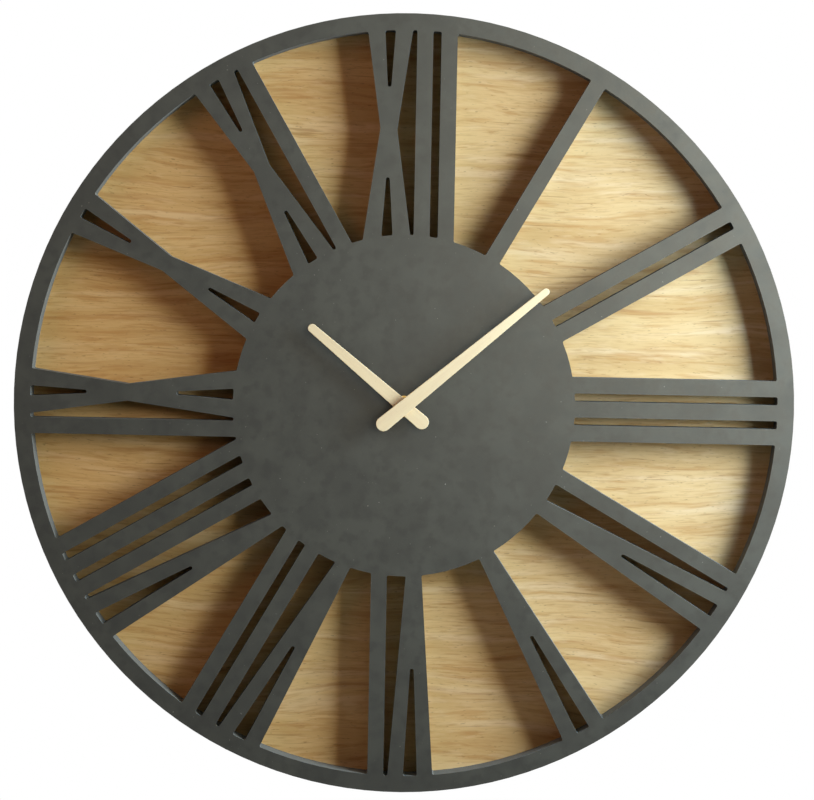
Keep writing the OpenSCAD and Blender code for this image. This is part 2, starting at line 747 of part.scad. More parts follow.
// Minute arbor: pivot, seat for the minute wheel, cannon pinion and shaft
arbor_r = 0.9;
cannon_back = middle_back + middle_t + end_shake;
cannon_front = hour_wheel_back - end_shake;
minute_hand_back = dial_front + hour_lift + hand_t + hand_gap;
hub_floor_t = 0.3;
minute_shaft_front = minute_hand_back - hub_floor_t;
module minute_arbor() {
    color("#c7a55e") {
        post(0, 0, arbor_back, pivot_r, minute_wheel_back - arbor_back);
        post(0, 0, boss_front + end_shake, arbor_r, minute_wheel_back - boss_front - end_shake);
        post(0, 0, minute_wheel_back, minute_seat_r, cannon_back - minute_wheel_back);
        layer(cannon_back, cannon_front - cannon_back) leaf_2d(cannon_teeth, motion_module, 0);
        post(0, 0, cannon_front, minute_shaft_r, minute_shaft_front - cannon_front);
    }
}
knob_sink = 0.3;
knob_back = case_back + knob_sink;
knob_t = 2.6;
motion_pinion_front = cavity_front - plate_air;
knob_r = 6.2;
knob_grooves = 24;
knob_groove_r = 0.45;
module motion_wheel() {
    color("#efece4") {
        layer(motion_wheel_back, wheel_t)
            translate(motion_at) wheel_2d(motion_teeth, motion_module, 180 + 180 / motion_teeth);
        layer(motion_wheel_back + wheel_t, motion_pinion_front - motion_wheel_back - wheel_t)
            translate(motion_at) leaf_2d(motion_pinion_teeth, hour_module, 180);
        post(motion_at.x, motion_at.y, knob_back, knob_arbor_r, motion_wheel_back - knob_back);
        post(motion_at.x, motion_at.y, motion_pinion_front, pivot_r,
            plate_air + case_front_wall * pivot_depth_share - end_shake);
    }
}
module set_knob() {
    color("#3a3b3f") layer(knob_back, knob_t) translate(motion_at) difference() {
        circle(knob_r);
        circle(knob_arbor_r);
        for (k = [0 : knob_grooves - 1])
            rotate(k * 360 / knob_grooves) translate([knob_r, 0]) circle(knob_groove_r, $fn = 24);
    }
}
hour_hand_back = dial_front + hour_lift;
hub_flange_t = 1;
hub_spigot_r = 3.3;
hour_flange_r = 4.9;
hour_collar_r = 3.8;
hour_collar_t = 1.1;
module hour_wheel() {
    color("#efece4") {
        layer(hour_wheel_back, hour_wheel_t) difference() {
            wheel_2d(hour_teeth, hour_module, 180 / hour_teeth);
            circle(minute_shaft_r + run_gap);
        }
        ring(hour_wheel_back + hour_wheel_t, minute_shaft_r + run_gap, pipe_r,
            hour_hand_back + hand_t - end_shake - hour_wheel_back - hour_wheel_t);
    }
}
module hour_hub() {
    color("#c9a45a") difference() {
        union() {
            post(0, 0, hour_hand_back - hub_flange_t - hour_collar_t, hour_collar_r, hour_collar_t);
            post(0, 0, hour_hand_back - hub_flange_t, hour_flange_r, hub_flange_t);
            post(0, 0, hour_hand_back, hub_spigot_r, hand_t);
        }
        post(0, 0, hour_hand_back - hub_flange_t - hour_collar_t - cut, pipe_r,
            hub_flange_t + hour_collar_t + hand_t + 2 * cut);
    }
}
// Flat hand that tapers between two round ends, along +Y of the drawing
module hand_2d(reach, tail, tip_r, tail_r) {
    lean = asin((tail_r - tip_r) / (reach + tail));
    translate([0, reach]) circle(tip_r);
    translate([0, -tail]) circle(tail_r);
    polygon([
        [tail_r * cos(lean), -tail + tail_r * sin(lean)], [tip_r * cos(lean), reach + tip_r * sin(lean)],
        [-tip_r * cos(lean), reach + tip_r * sin(lean)], [-tail_r * cos(lean), -tail + tail_r * sin(lean)]]);
}
module hour_hand() {
    color("#e6d2a6") layer(hour_hand_back, hand_t) difference() {
        rotate(-hour_bearing) hand_2d(hour_reach, hour_tail, hour_tip_w / 2, hour_tail_w / 2);
        circle(hub_spigot_r);
    }
}
minute_flange_r = 4.8;
minute_collar_r = 3.2;
minute_collar_t = 0.8;
module minute_hub() {
    color("#c9a45a") difference() {
        union() {
            post(0, 0, minute_hand_back - hub_flange_t - minute_collar_t, minute_collar_r, minute_collar_t);
            post(0, 0, minute_hand_back - hub_flange_t, minute_flange_r, hub_flange_t);
        }
        post(0, 0, minute_hand_back - hub_flange_t - minute_collar_t - cut, minute_shaft_r,
            hub_flange_t + minute_collar_t + cut - hub_floor_t);
    }
}
module minute_hand() {
    color("#e6d2a6") layer(minute_hand_back, hand_t) rotate(-minute_bearing)
        hand_2d(minute_reach, minute_tail, minute_tip_w / 2, minute_tail_w / 2);
}

front_dial();
back_panel();
wall_pads();
hanger_plate();
hanger_screws();
movement_case();
movement_cover();
middle_plate();
centre_bush();
rubber_washer();
dial_washer();
hex_nut();
battery();
contact_plus();
contact_minus();
circuit_board();
quartz_crystal();
coil_bobbin();
coil_winding();
coil_core();
stator();
rotor_magnet();
rotor_pinion();
third_wheel();
minute_wheel();
minute_arbor();
motion_wheel();
set_knob();
hour_wheel();
hour_hub();
hour_hand();
minute_hub();
minute_hand();
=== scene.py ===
"""The looks of a wall clock with a thick fretted dial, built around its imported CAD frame.

A board of graphite dyed fibreboard, cut through in Roman numerals, lies on an oak veneered panel.
Beech hands turn on a battery movement behind it. The dial faces -Y, XII is at +Z and the wall is
Y = 0. Lengths are in metres, as in the frame. A depth is measured from the wall forwards, so it
lies at -Y. Patterns are worked out in millimetres.
"""

from __future__ import annotations

import json
import logging
import math
from dataclasses import dataclass, replace
from enum import Enum
from typing import Any, Callable, Mapping, Sequence

import bpy
from mathutils import Matrix, Vector

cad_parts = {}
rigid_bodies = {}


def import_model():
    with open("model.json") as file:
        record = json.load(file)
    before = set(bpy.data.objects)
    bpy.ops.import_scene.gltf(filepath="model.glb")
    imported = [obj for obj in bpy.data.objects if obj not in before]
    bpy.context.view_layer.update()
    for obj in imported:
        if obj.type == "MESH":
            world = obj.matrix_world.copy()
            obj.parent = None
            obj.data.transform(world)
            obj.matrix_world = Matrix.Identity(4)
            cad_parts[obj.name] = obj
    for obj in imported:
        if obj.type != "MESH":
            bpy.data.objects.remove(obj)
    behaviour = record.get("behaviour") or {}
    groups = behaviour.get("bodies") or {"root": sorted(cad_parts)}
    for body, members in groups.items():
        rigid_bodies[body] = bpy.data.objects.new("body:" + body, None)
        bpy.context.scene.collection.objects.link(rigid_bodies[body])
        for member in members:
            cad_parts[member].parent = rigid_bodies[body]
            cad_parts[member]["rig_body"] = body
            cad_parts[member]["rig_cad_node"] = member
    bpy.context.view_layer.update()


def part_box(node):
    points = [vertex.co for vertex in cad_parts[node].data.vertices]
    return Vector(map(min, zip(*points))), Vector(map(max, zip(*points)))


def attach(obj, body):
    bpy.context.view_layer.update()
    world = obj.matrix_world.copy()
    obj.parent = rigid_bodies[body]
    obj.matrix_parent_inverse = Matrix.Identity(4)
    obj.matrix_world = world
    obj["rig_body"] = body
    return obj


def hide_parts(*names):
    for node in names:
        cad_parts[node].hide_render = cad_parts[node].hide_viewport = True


LOG = logging.getLogger("wall_clock")
MM = 0.001
# The hands' bearings at rest, in degrees clockwise from XII.
MINUTE_BEARING, HOUR_BEARING = 49.8, 309.6
# Turns a primitive that stands along Z so that its axis runs from the wall forwards.
FACING = (math.pi / 2, 0.0, 0.0)
# Most of a noise's heights lie between these two.
NOISE_SPAN = (0.3, 0.7)

Colour = tuple[float, float, float, float]
Pair = tuple[float, float]
Profile = Sequence[Pair]
Piece = bpy.types.Object
Socket = bpy.types.NodeSocket
Tree = bpy.types.NodeTree


class Body(str, Enum):
    """The CAD bodies that new pieces ride on."""

    CLOCK = "clock_body"
    MINUTE = "minute"
    HOUR = "hour"
    MOTION = "motion"


def srgb(code: str) -> Colour:
    """Turns a hex colour into the linear one that the shaders read.

    Args:
        code: The colour as it looks, such as "#d8b478".

    Returns:
        Red, green, blue and an alpha of 1, all linear.
    """
    shades = [int(code[at : at + 2], 16) / 255 for at in (1, 3, 5)]
    # The curve and its numbers are the sRGB standard's.
    red, green, blue = (s / 12.92 if s <= 0.04045 else ((s + 0.055) / 1.055) ** 2.4 for s in shades)
    return red, green, blue, 1.0


def add_node(
    tree: Tree, kind: str, inputs: Mapping[str | int, Any] | None = None, **settings: Any
) -> bpy.types.Node:
    """Adds a node with its settings, its values and its links.

    Args:
        tree: The node tree that takes the node.
        kind: Blender's name for the kind of node.
        inputs: A value, or the output to link, for each input by its name or number.
        **settings: The node's own settings.

    Returns:
        The new node.
    """
    node = tree.nodes.new(kind)
    for name, value in settings.items():
        setattr(node, name, value)
    for key, value in (inputs or {}).items():
        if isinstance(value, Socket):
            tree.links.new(value, node.inputs[key])
        else:
            node.inputs[key].default_value = value
    return node


def depths(node: str) -> Pair:
    """Returns the depths of a CAD node's back and front."""
    low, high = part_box(node)
    return -high.y, -low.y


@dataclass(frozen=True)
class Layer:
    """One layer of a pattern: a colour that shows where the noise under it runs high.

    It fades in between the heights low and high, up to its share. The shift sets it off against
    other layers of the same grain, and crystals makes it flat cells instead of a noise.
    """

    colour: str
    grain_mm: tuple[float, float, float]
    low: float
    high: float
    share: float = 1.0
    octaves: float = 2.0
    shift: float = 0.0
    crystals: bool = False

    def grain(self, tree: Tree, place: Socket) -> Socket:
        """Draws the layer's grains.

        Args:
            tree: The material's node tree.
            place: Coordinates in millimetres.

        Returns:
            The grains' height, about 0.5 on average.
        """
        scale = tuple(1 / long for long in self.grain_mm)
        moved = (self.shift, -self.shift, 2 * self.shift)
        laid = {"Vector": place, "Scale": scale, "Location": moved}
        drawn = {"Vector": add_node(tree, "ShaderNodeMapping", laid).outputs[0], "Scale": 1.0}
        if not self.crystals:
            drawn["Detail"] = self.octaves
            return add_node(tree, "ShaderNodeTexNoise", drawn).outputs[0]
        cells = add_node(tree, "ShaderNodeTexVoronoi", drawn).outputs["Color"]
        return add_node(tree, "ShaderNodeSeparateColor", {"Color": cells}).outputs["Red"]


def specks(colour: str, size_mm: float, share: float, octaves: float = 2.0) -> Layer:
    """Returns a layer of soft round specks or clouds, all of one size."""
    return Layer(colour, (size_mm,) * 3, 0.4, 0.7, share, octaves)


@dataclass(frozen=True)
class Finish:
    """One finish: what the material is, the record's slot it stands for, and what the eye gets.

    The last layer is the finest one. It also swings the roughness and raises the relief.
    """

    title: str
    slot: str
    colour: str
    roughness: float
    layers: tuple[Layer, ...] = ()
    swing: float = 0.05
    relief_mm: float = 0.03
    metallic: float = 0.0
    ior: float | None = None

    def material(self) -> bpy.types.Material:
        """Returns this finish's material, and makes it the first time."""
        known = bpy.data.materials.get(self.title)
        if known is not None:
            return known
        material = bpy.data.materials.new(self.title)
        material.use_nodes = True
        material.diffuse_color = srgb(self.colour)
        tree = material.node_tree
        shader = tree.nodes["Principled BSDF"]
        shader.inputs["Metallic"].default_value = self.metallic
        if self.ior is not None:
            shader.inputs["IOR"].default_value = self.ior
        where = add_node(tree, "ShaderNodeTexCoord").outputs["Object"]
        in_mm = {"Vector": where, "Scale": (1 / MM,) * 3}
        colour, height = self.pattern(tree, add_node(tree, "ShaderNodeMapping", in_mm).outputs[0])
        swung = {
            "Value": height,
            "From Min": NOISE_SPAN[0],
            "From Max": NOISE_SPAN[1],
            "To Min": self.roughness + self.swing,
            "To Max": self.roughness - self.swing,
        }
        rough = add_node(tree, "ShaderNodeMapRange", swung)
        bump = add_node(tree, "ShaderNodeBump", {"Distance": self.relief_mm * MM, "Height": height})
        tree.links.new(colour, shader.inputs["Base Color"])
        tree.links.new(rough.outputs["Result"], shader.inputs["Roughness"])
        tree.links.new(bump.outputs["Normal"], shader.inputs["Normal"])
        return material

    def lay(self, tree: Tree, place: Socket) -> Socket:
        """Returns the coordinates that the layers are drawn in, here as they are."""
        return place

    def pattern(self, tree: Tree, place: Socket) -> tuple[Socket, Socket]:
        """Draws the layers one over the other.

        Args:
            tree: The material's node tree.
            place: Object coordinates in millimetres.

        Returns:
            The colour and the height of the surface.
        """
        laid = self.lay(tree, place)
        colour: Socket | Colour = srgb(self.colour)
        for layer in self.layers:
            height = layer.grain(tree, laid)
            fade = {
                "Value": height,
                "From Min": layer.low,
                "From Max": layer.high,
                "To Max": layer.share,
            }
            shown = add_node(tree, "ShaderNodeMapRange", fade, interpolation_type="SMOOTHSTEP")
            over = {0: shown.outputs["Result"], 6: colour, 7: srgb(layer.colour)}
            colour = add_node(tree, "ShaderNodeMix", over, data_type="RGBA").outputs[2]
        return colour, height


@dataclass(frozen=True)
class Metal(Finish):
    """Bare metal, with shallow marks that swing its gloss. It keeps the shader's own IOR."""

    swing: float = 0.08
    relief_mm: float = 0.01
    metallic: float = 1.0


@dataclass(frozen=True)
class Veneered(Finish):
    """A veneer whose fibres run along X and sway a little, over a board that shows at the edge.

    Its colour is multiplied by a little painted warm shade, which grows from the first to the
    second of two places along X, on the side away from the key lamps.
    """

    sway_mm: float = 9.0
    sway_grain_mm: tuple[float, float, float] = (210.0, 60.0, 90.0)
    sway_span: Pair = (0.25, 0.75)
    # Painted warm shade: the tint that darkens the veneer towards the side away from the key lamps.
    painted_warm_shade: str = "#fff3dd"
    painted_warm_shade_mm: Pair = (220.0, -260.0)
    core: str = "#7b5f43"
    veneer_mm: float = 0.5
    board_mm: Pair = (6.0, 9.0)

    def lay(self, tree: Tree, place: Socket) -> Socket:
        """Lets the fibres sway up and down along the board.

        Args:
            tree: The material's node tree.
            place: Object coordinates in millimetres.

        Returns:
            The swaying coordinates.
        """
        low, high = self.sway_span
        slow = Layer(self.colour, self.sway_grain_mm, low, high)
        span = {
            "Value": slow.grain(tree, place),
            "From Min": low,
            "From Max": high,
            "To Min": -self.sway_mm,
            "To Max": self.sway_mm,
        }
        sway = add_node(tree, "ShaderNodeMapRange", span).outputs["Result"]
        rise = add_node(tree, "ShaderNodeCombineXYZ", {"Z": sway}).outputs["Vector"]
        both = {0: place, 1: rise}
        return add_node(tree, "ShaderNodeVectorMath", both, operation="ADD").outputs["Vector"]

    def pattern(self, tree: Tree, place: Socket) -> tuple[Socket, Socket]:
        """Draws the veneer on both faces, with painted warm shade on one side, and the board
        between them.

        Args:
            tree: The material's node tree.
            place: Object coordinates in millimetres.

        Returns:
            The colour and the height of the surface.
        """
        wood, height = super().pattern(tree, place)
        across, deep, _ = add_node(tree, "ShaderNodeSeparateXYZ", {"Vector": place}).outputs
        # The painted warm shade: the wood's colour is multiplied by more of the tint from start to
        # end along X.
        start, end = self.painted_warm_shade_mm
        side = {"Value": across, "From Min": start, "From Max": end}
        shade_share = add_node(tree, "ShaderNodeMapRange", side).outputs["Result"]
        oiled = {0: shade_share, 6: wood, 7: srgb(self.painted_warm_shade)}
        warm = add_node(tree, "ShaderNodeMix", oiled, data_type="RGBA", blend_type="MULTIPLY")
        back, front = self.board_mm
        middle, half = -(back + front) / 2, (front - back) / 2 - self.veneer_mm
        within = {0: deep, 1: middle, 2: half}
        inside = add_node(tree, "ShaderNodeMath", within, operation="COMPARE").outputs["Value"]
        cored = {0: inside, 6: warm.outputs[2], 7: srgb(self.core)}
        return add_node(tree, "ShaderNodeMix", cored, data_type="RGBA").outputs[2], height


@dataclass(frozen=True)
class AlongHand(Finish):
    """Wood whose fibres run along a hand that points to a bearing."""

    bearing: float = 0.0

    def lay(self, tree: Tree, place: Socket) -> Socket:
        """Returns coordinates that are turned to the hand's bearing, with Z along the hand."""
        aimed = {"Vector": place, "Rotation": (0.0, -math.radians(self.bearing), 0.0)}
        return add_node(tree, "ShaderNodeMapping", aimed).outputs["Vector"]


@dataclass(frozen=True)
class Turned(Metal):
    """Metal from a lathe: its tool marks are rings about the clock's axis."""

    def lay(self, tree: Tree, place: Socket) -> Socket:
        """Measures outwards from the axis, so that the marks close into rings.

        Args:
            tree: The material's node tree.
            place: Object coordinates in millimetres.

        Returns:
            Coordinates of radius and depth.
        """
        level = {0: place, 1: (1.0, 0.0, 1.0)}
        flat = add_node(tree, "ShaderNodeVectorMath", level, operation="MULTIPLY").outputs["Vector"]
        span = add_node(tree, "ShaderNodeVectorMath", {0: flat}, operation="LENGTH")
        radius = span.outputs["Value"]
        deep = add_node(tree, "ShaderNodeSeparateXYZ", {"Vector": place}).outputs["Y"]
        return add_node(tree, "ShaderNodeCombineXYZ", {"X": radius, "Y": deep}).outputs["Vector"]


@dataclass(frozen=True)
class Etched(Finish):
    """Green resist over etched copper: tracks show as slightly paler raised lines."""

    track: str = "#4c8a5c"
    pitch_mm: float = 1.6
    stray: float = 0.35
    track_span: Pair = (0.42, 0.5)

    def pattern(self, tree: Tree, place: Socket) -> tuple[Socket, Socket]:
        """Draws the tracks between the parts.

        Args:
            tree: The material's node tree.
            place: Object coordinates in millimetres.

        Returns:
            The colour and the height of the surface.
        """
        laid = {"Vector": place, "Scale": 1 / self.pitch_mm, "Randomness": self.stray}
        cells = add_node(tree, "ShaderNodeTexVoronoi", laid, distance="CHEBYCHEV")
        low, high = self.track_span
        lines = {"Value": cells.outputs["Distance"], "From Min": low, "From Max": high}
        tracks = add_node(tree, "ShaderNodeMapRange", lines).outputs["Result"]
        green = {0: tracks, 6: srgb(self.colour), 7: srgb(self.track)}
        return add_node(tree, "ShaderNodeMix", green, data_type="RGBA").outputs[2], tracks


@dataclass(frozen=True)
class Wound(Finish):
    """Enamelled wire wound in layers, with painted shade in the valleys between turns that lie side
    by side along X.
    """

    turn_mm: float = 0.35
    stray: float = 0.2
    # Painted shade: the dark colour laid in the valleys between turns.
    valley: str = "#6e3214"

    def pattern(self, tree: Tree, place: Socket) -> tuple[Socket, Socket]:
        """Draws the turns.

        Args:
            tree: The material's node tree.
            place: Object coordinates in millimetres.

        Returns:
            The colour and the height of the surface.
        """
        # At a scale of 1 the wave node draws a band every pi / 10.
        scale = math.pi / 10 / self.turn_mm
        laid = {"Vector": place, "Scale": scale, "Distortion": self.stray}
        turns = add_node(tree, "ShaderNodeTexWave", laid, bands_direction="X").outputs[1]
        # Mixes from the painted valley shade up to the wire's own colour on the crests.
        copper = {0: turns, 6: srgb(self.valley), 7: srgb(self.colour)}
        return add_node(tree, "ShaderNodeMix", copper, data_type="RGBA").outputs[2], turns


# Dyed in the mass and sealed matt: a dull graphite with soft clouds, rare pale fibres, low sheen.
DIAL_BOARD = Finish(
    "Graphite dyed fibreboard, matt sealed", "graphite_board", "#34352f", 0.49,
    (
        Layer("#42433b", (30.0,) * 3, 0.38, 0.64, 0.6, 5.0),
        Layer("#8b887c", (1.7,) * 3, 0.79, 0.83, 0.8, 1.0, 11.0),
        Layer("#3f3f39", (0.8,) * 3, 0.5, 0.75, 0.3),
        Layer("#2a2a26", (9.0,) * 3, 0.45, 0.7, 0.5, 4.0, 3.0),
    ),
    relief_mm=0.06, ior=1.34,
)
# Where the cutter ran the seal is gone: paler, dry, felted fibres without gloss.
DIAL_WALL = Finish(
    "Graphite dyed fibreboard, milled wall", "graphite_board", "#5f6059", 0.85,
    (specks("#52534d", 9.0, 0.5, 3.0), Layer("#6f7068", (0.8,) * 3, 0.45, 0.7, 0.4)),
    relief_mm=0.06, ior=1.3,
)
# Flat cut and oiled: warm straw with level fibres, soft pale and dark bands, short pale flecks and
# fine brown pores. The IOR is set low, since the wood shows almost no gloss.
PANEL_OAK = Veneered(
    "Oak veneer, flat cut and oiled", "oak_veneer", "#dfbe85", 0.7,
    (
        Layer("#c8a064", (210.0, 40.0, 15.0), 0.42, 0.66, 0.55, 3.0),
        Layer("#eacfa1", (170.0, 40.0, 10.0), 0.5, 0.68, 0.6, 3.0, 4.0),
        Layer("#c39357", (46.0, 18.0, 3.6), 0.5, 0.68, 0.55, 4.0, 2.0),
        Layer("#ac7441", (110.0, 20.0, 5.0), 0.57, 0.73, 0.38, 3.0, 12.0),
        Layer("#ecd1a5", (15.0, 6.0, 2.4), 0.54, 0.72, 0.22, 2.0, 6.0),
        Layer("#b4834a", (20.0, 6.0, 2.6), 0.58, 0.74, 0.42, 2.0, 9.0),
        Layer("#9f713e", (55.0, 12.0, 2.2), 0.64, 0.76, 0.5, 2.0, 5.0),
        Layer("#8f6840", (5.0, 2.0, 1.0), 0.66, 0.78, 0.45, 1.0, 1.0),
        Layer("#c29a63", (14.0, 4.0, 1.2), 0.5, 0.7, 0.42, 3.0, 7.0),
    ),
    ior=1.1,
)
# Sanded and sealed: pale cream with faint lines and short pinkish rays along the hand.
MINUTE_BEECH = AlongHand(
    "Beech, sanded, grain along the minute hand", "hand_wood", "#efd9a8", 0.5,
    (
        Layer("#e6cda0", (6.0, 6.0, 40.0), 0.45, 0.7, 0.5),
        Layer("#c9a06f", (0.5, 0.5, 2.6), 0.68, 0.76, 0.45, 1.0, 4.0),
        Layer("#dcbb88", (0.9, 0.9, 24.0), 0.45, 0.68, 0.16, 3.0, 2.0),
    ),
    bearing=MINUTE_BEARING,
)
HOUR_BEECH = replace(
    MINUTE_BEECH, title="Beech, sanded, grain along the hour hand", bearing=HOUR_BEARING
)
# Turned and left bare: warm yellow metal with fine rings, dulled in patches.
TURNED_BRASS = Turned(
    "Brass, turned", "brass", "#d9b670", 0.32,
    (Layer("#8d7140", (4.5,) * 3, 0.45, 0.75, 0.6, 3.0), specks("#c9a660", 0.25, 0.4)),
)
# Moulded against an eroded tool: deep matt black with a fine grain.
CASE_ABS = Finish(
    "Black ABS, moulded with a fine grain", "black_abs", "#1d1e20", 0.5,
    (specks("#2c2d30", 9.0, 0.3), specks("#26272a", 0.35, 0.4)),
    relief_mm=0.02,
)
# Moulded bright: milky white and slippery, a little darker where it is thick.
WHEEL_ACETAL = Finish(
    "Natural acetal, moulded", "acetal_white", "#ece9df", 0.32,
    (specks("#dcd8ca", 9.0, 0.5), specks("#e4e0d4", 0.5, 0.3)),
    relief_mm=0.006,
)
# Moulded with glass: off white, greyer and drier than the wheels.
PLATE_PLASTIC = Finish(
    "Glass filled nylon, moulded", "plate_plastic", "#d3d0c6", 0.48,
    (specks("#c3c0b4", 6.0, 0.5), Layer("#bdbaae", (0.4,) * 3, 0.5, 0.75, 0.4)),
    relief_mm=0.015,
)
# Pressed from hot dip galvanised strip: grey crystals, half matt.
ZINC_STEEL = Metal(
    "Steel, pressed and galvanised", "zinc_steel", "#b7babd", 0.42,
    (Layer("#8a8e92", (3.2,) * 3, 0.1, 0.9, 0.5, crystals=True), specks("#a2a5a9", 0.5, 0.3)),
    relief_mm=0.012,
)
# Cold headed and yellow passivated: a straw gold film over bright zinc.
YELLOW_ZINC = Metal(
    "Steel screw, yellow passivated", "yellow_zinc", "#cbb873", 0.34,
    (specks("#9c8f4c", 2.5, 0.6, 3.0), specks("#b8a560", 0.4, 0.3)),
)
# Moulded soft: black and matt, with a faint bloom.
PAD_RUBBER = Finish(
    "Soft rubber, moulded", "soft_rubber", "#222223", 0.72,
    (specks("#3a3a3b", 8.0, 0.4, 3.0), specks("#2b2b2c", 0.6, 0.4)),
)
# Rolled, slit and plated: bright, with straight roll lines up the strip.
NICKEL_STRIP = Metal(
    "Nickel plated spring strip", "nickel_strip", "#cfd0cb", 0.28,
    (specks("#b3b4b0", 3.0, 0.5), Layer("#9b9c98", (0.25, 0.25, 14.0), 0.4, 0.7, 0.4)),
)
# Deep drawn and plated: bright, with fine lines along the can.
CELL_CAN = Metal(
    "Steel can, deep drawn and plated", "nickel_strip", "#c9cac8", 0.27,
    (specks("#b0b1ae", 4.0, 0.5), Layer("#93958f", (14.0, 0.25, 0.25), 0.4, 0.7, 0.4)),
    swing=0.07,
)
# Shrunk film over the can: even slate colour under a clear gloss.
CELL_SLEEVE = Finish(
    "Shrunk plastic sleeve", "cell_jacket", "#41505d", 0.22,
    (specks("#394753", 8.0, 0.5), specks("#46566a", 1.6, 0.2)),
    swing=0.03, relief_mm=0.005,
)
# Solder resist over copper: glossy leaf green with raised tracks.
BOARD_RESIST = Etched("Solder resist over etched copper", "board_green", "#235f3a", 0.25)
# Dropped by hand and cured: a black glossy bead.
CHIP_EPOXY = Finish(
    "Black epoxy, dropped", "black_abs", "#121214", 0.18,
    (specks("#1a1a1c", 2.0, 0.5),),
    swing=0.03, relief_mm=0.004,
)
# Drawn and tinned: bright silver with fine lines along the can.
CRYSTAL_CAN = Metal(
    "Tinned can, drawn", "crystal_can", "#d2d3d0", 0.24,
    (Layer("#a3a5a2", (14.0, 0.25, 0.25), 0.4, 0.7, 0.4),),
    swing=0.07, relief_mm=0.008,
)
# Wound on the bobbin: orange brown, with painted shade between the turns and each turn with its own
# glint.
WINDING = Wound(
    "Enamelled copper wire, wound", "copper_wire", "#c2713a", 0.32, relief_mm=0.08, metallic=0.85
)
# Punched from soft iron sheet: grey with rolled lines.
CORE_IRON = Metal(
    "Soft iron sheet, punched", "core_iron", "#8f9397", 0.4,
    (specks("#7a7e82", 4.0, 0.5), Layer("#686c70", (14.0, 0.3, 0.3), 0.4, 0.7, 0.4)),
)
# Pressed and bonded powder: dark, fine and dull.
MAGNET = Finish(
    "Bonded ferrite, pressed", "magnet", "#4b4e52", 0.6,
    (specks("#3a3c3f", 0.4, 0.6),),
    relief_mm=0.01,
)
# Moulded with a ribbed rim: dark grey, a little shinier than the case.
KNOB_PLASTIC = Finish(
    "Grey ABS, moulded", "knob_grey", "#3c3e42", 0.42,
    (specks("#4a4c51", 6.0, 0.3), specks("#45474c", 0.35, 0.3)),
    relief_mm=0.015,
)


# Hand tools: each does one job with Blender's operators. Vertices that lie closer than a weld are
# merged, and faces that turn by less than FLAT degrees become one.
WELD, CAD_WELD = 0.001 * MM, 0.002 * MM
FLAT = 0.3


def clear() -> None:
    """Puts every piece down, so that an operator touches only what comes next."""
    bpy.ops.object.select_all(action="DESELECT")
    bpy.context.view_layer.objects.active = None


def take(piece: Piece) -> None:
    """Takes one piece alone in hand.

    Args:
        piece: The piece to select and make active.
    """
    clear()
    piece.select_set(True)
    bpy.context.view_layer.objects.active = piece


def fresh(name: str) -> Piece:
    """Names the piece that an operator has just added.

    Args:
        name: The piece's name, also given to its mesh.

    Returns:
        The new piece.
    """
    piece = bpy.context.active_object
    piece.name = name
    piece.data.name = name
    return piece


def copy_of(node: str, name: str) -> Piece:
    """Copies a CAD node's mesh and merges its loose triangles into clean faces.

    Args:
        node: The CAD node to start from.
        name: The new piece's name.

    Returns:
        The new piece, which rides on nothing yet.
    """
    take(bpy.data.objects[node])
    bpy.ops.object.duplicate(linked=False)
    piece = fresh(name)
    piece.parent = None
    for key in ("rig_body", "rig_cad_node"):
        del piece[key]
    bpy.ops.object.mode_set(mode="EDIT")
    bpy.ops.mesh.select_all(action="SELECT")
    bpy.ops.mesh.customdata_custom_splitnormals_clear()
    bpy.ops.mesh.remove_doubles(threshold=CAD_WELD)
    bpy.ops.mesh.dissolve_limited(angle_limit=math.radians(FLAT))
    bpy.ops.object.mode_set(mode="OBJECT")
    return piece


def pick(piece: Piece, test: Callable[[Vector], bool], faces: bool = False) -> None:
    """Opens a piece in edit mode with the vertices or faces that pass a test selected.

    Args:
        piece: The piece to open.
        test: Takes a vertex's place or a face's centre.
        faces: True to select faces.
    """
    take(piece)
    bpy.context.tool_settings.mesh_select_mode = (not faces, False, faces)
    bpy.ops.object.mode_set(mode="EDIT")
    bpy.ops.mesh.select_all(action="DESELECT")
    bpy.ops.object.mode_set(mode="OBJECT")
    for part in piece.data.polygons if faces else piece.data.vertices:
        part.select = test(part.center if faces else part.co)
    bpy.ops.object.mode_set(mode="EDIT")


def modify(piece: Piece, kind: str, **settings: Any) -> None:
    """Adds a modifier and applies it.

    Args:
        piece: The piece to change.
        kind: Blender's name for the kind of modifier.
        **settings: The modifier's own settings.
    """
    take(piece)
    modifier = piece.modifiers.new(kind.title(), kind)
    for name, value in settings.items():
        setattr(modifier, name, value)
    bpy.ops.object.modifier_apply(modifier=modifier.name)


def cut(piece: Piece, tool: Piece, keep: bool = False) -> None:
    """Cuts a piece with a tool and puts the tool away.

    Args:
        piece: The piece that is cut.
        tool: The shape that is taken away, or kept where it overlaps.
        keep: True if only what lies inside the tool stays.
    """
    job = "INTERSECT" if keep else "DIFFERENCE"
    modify(piece, "BOOLEAN", object=tool, operation=job, solver="EXACT")
    bpy.data.objects.remove(tool)


def join(first: Piece, other: Piece) -> None:
    """Joins two pieces into one object.

    Args:
        first: The piece that takes the other.
        other: The piece that goes into it.
    """
    take(first)
    other.select_set(True)
    bpy.ops.object.join()


def settle(piece: Piece) -> Piece:
    """Moves a piece's place, turn and scale into its mesh.

    Args:
        piece: The piece to settle.

    Returns:
        The same piece, at the origin.
    """
    take(piece)
    bpy.ops.object.transform_apply(location=True, rotation=True, scale=True)
    return piece


def ease(piece: Piece, width: float, rounds: int = 2, angle: float = 35.0) -> Piece:
    """Takes the sharpness off a piece's edges and smooths its shading.

    Args:
        piece: The piece to finish.
        width: Width of the eased edge.
        rounds: Segments across it.
        angle: Edges that turn by more than this many degrees are eased.

    Returns:
        The same piece.
    """
    modify(
        piece, "BEVEL", width=width, segments=rounds, limit_method="ANGLE",
        angle_limit=math.radians(angle), use_clamp_overlap=True,
    )
    return shade(piece, angle)


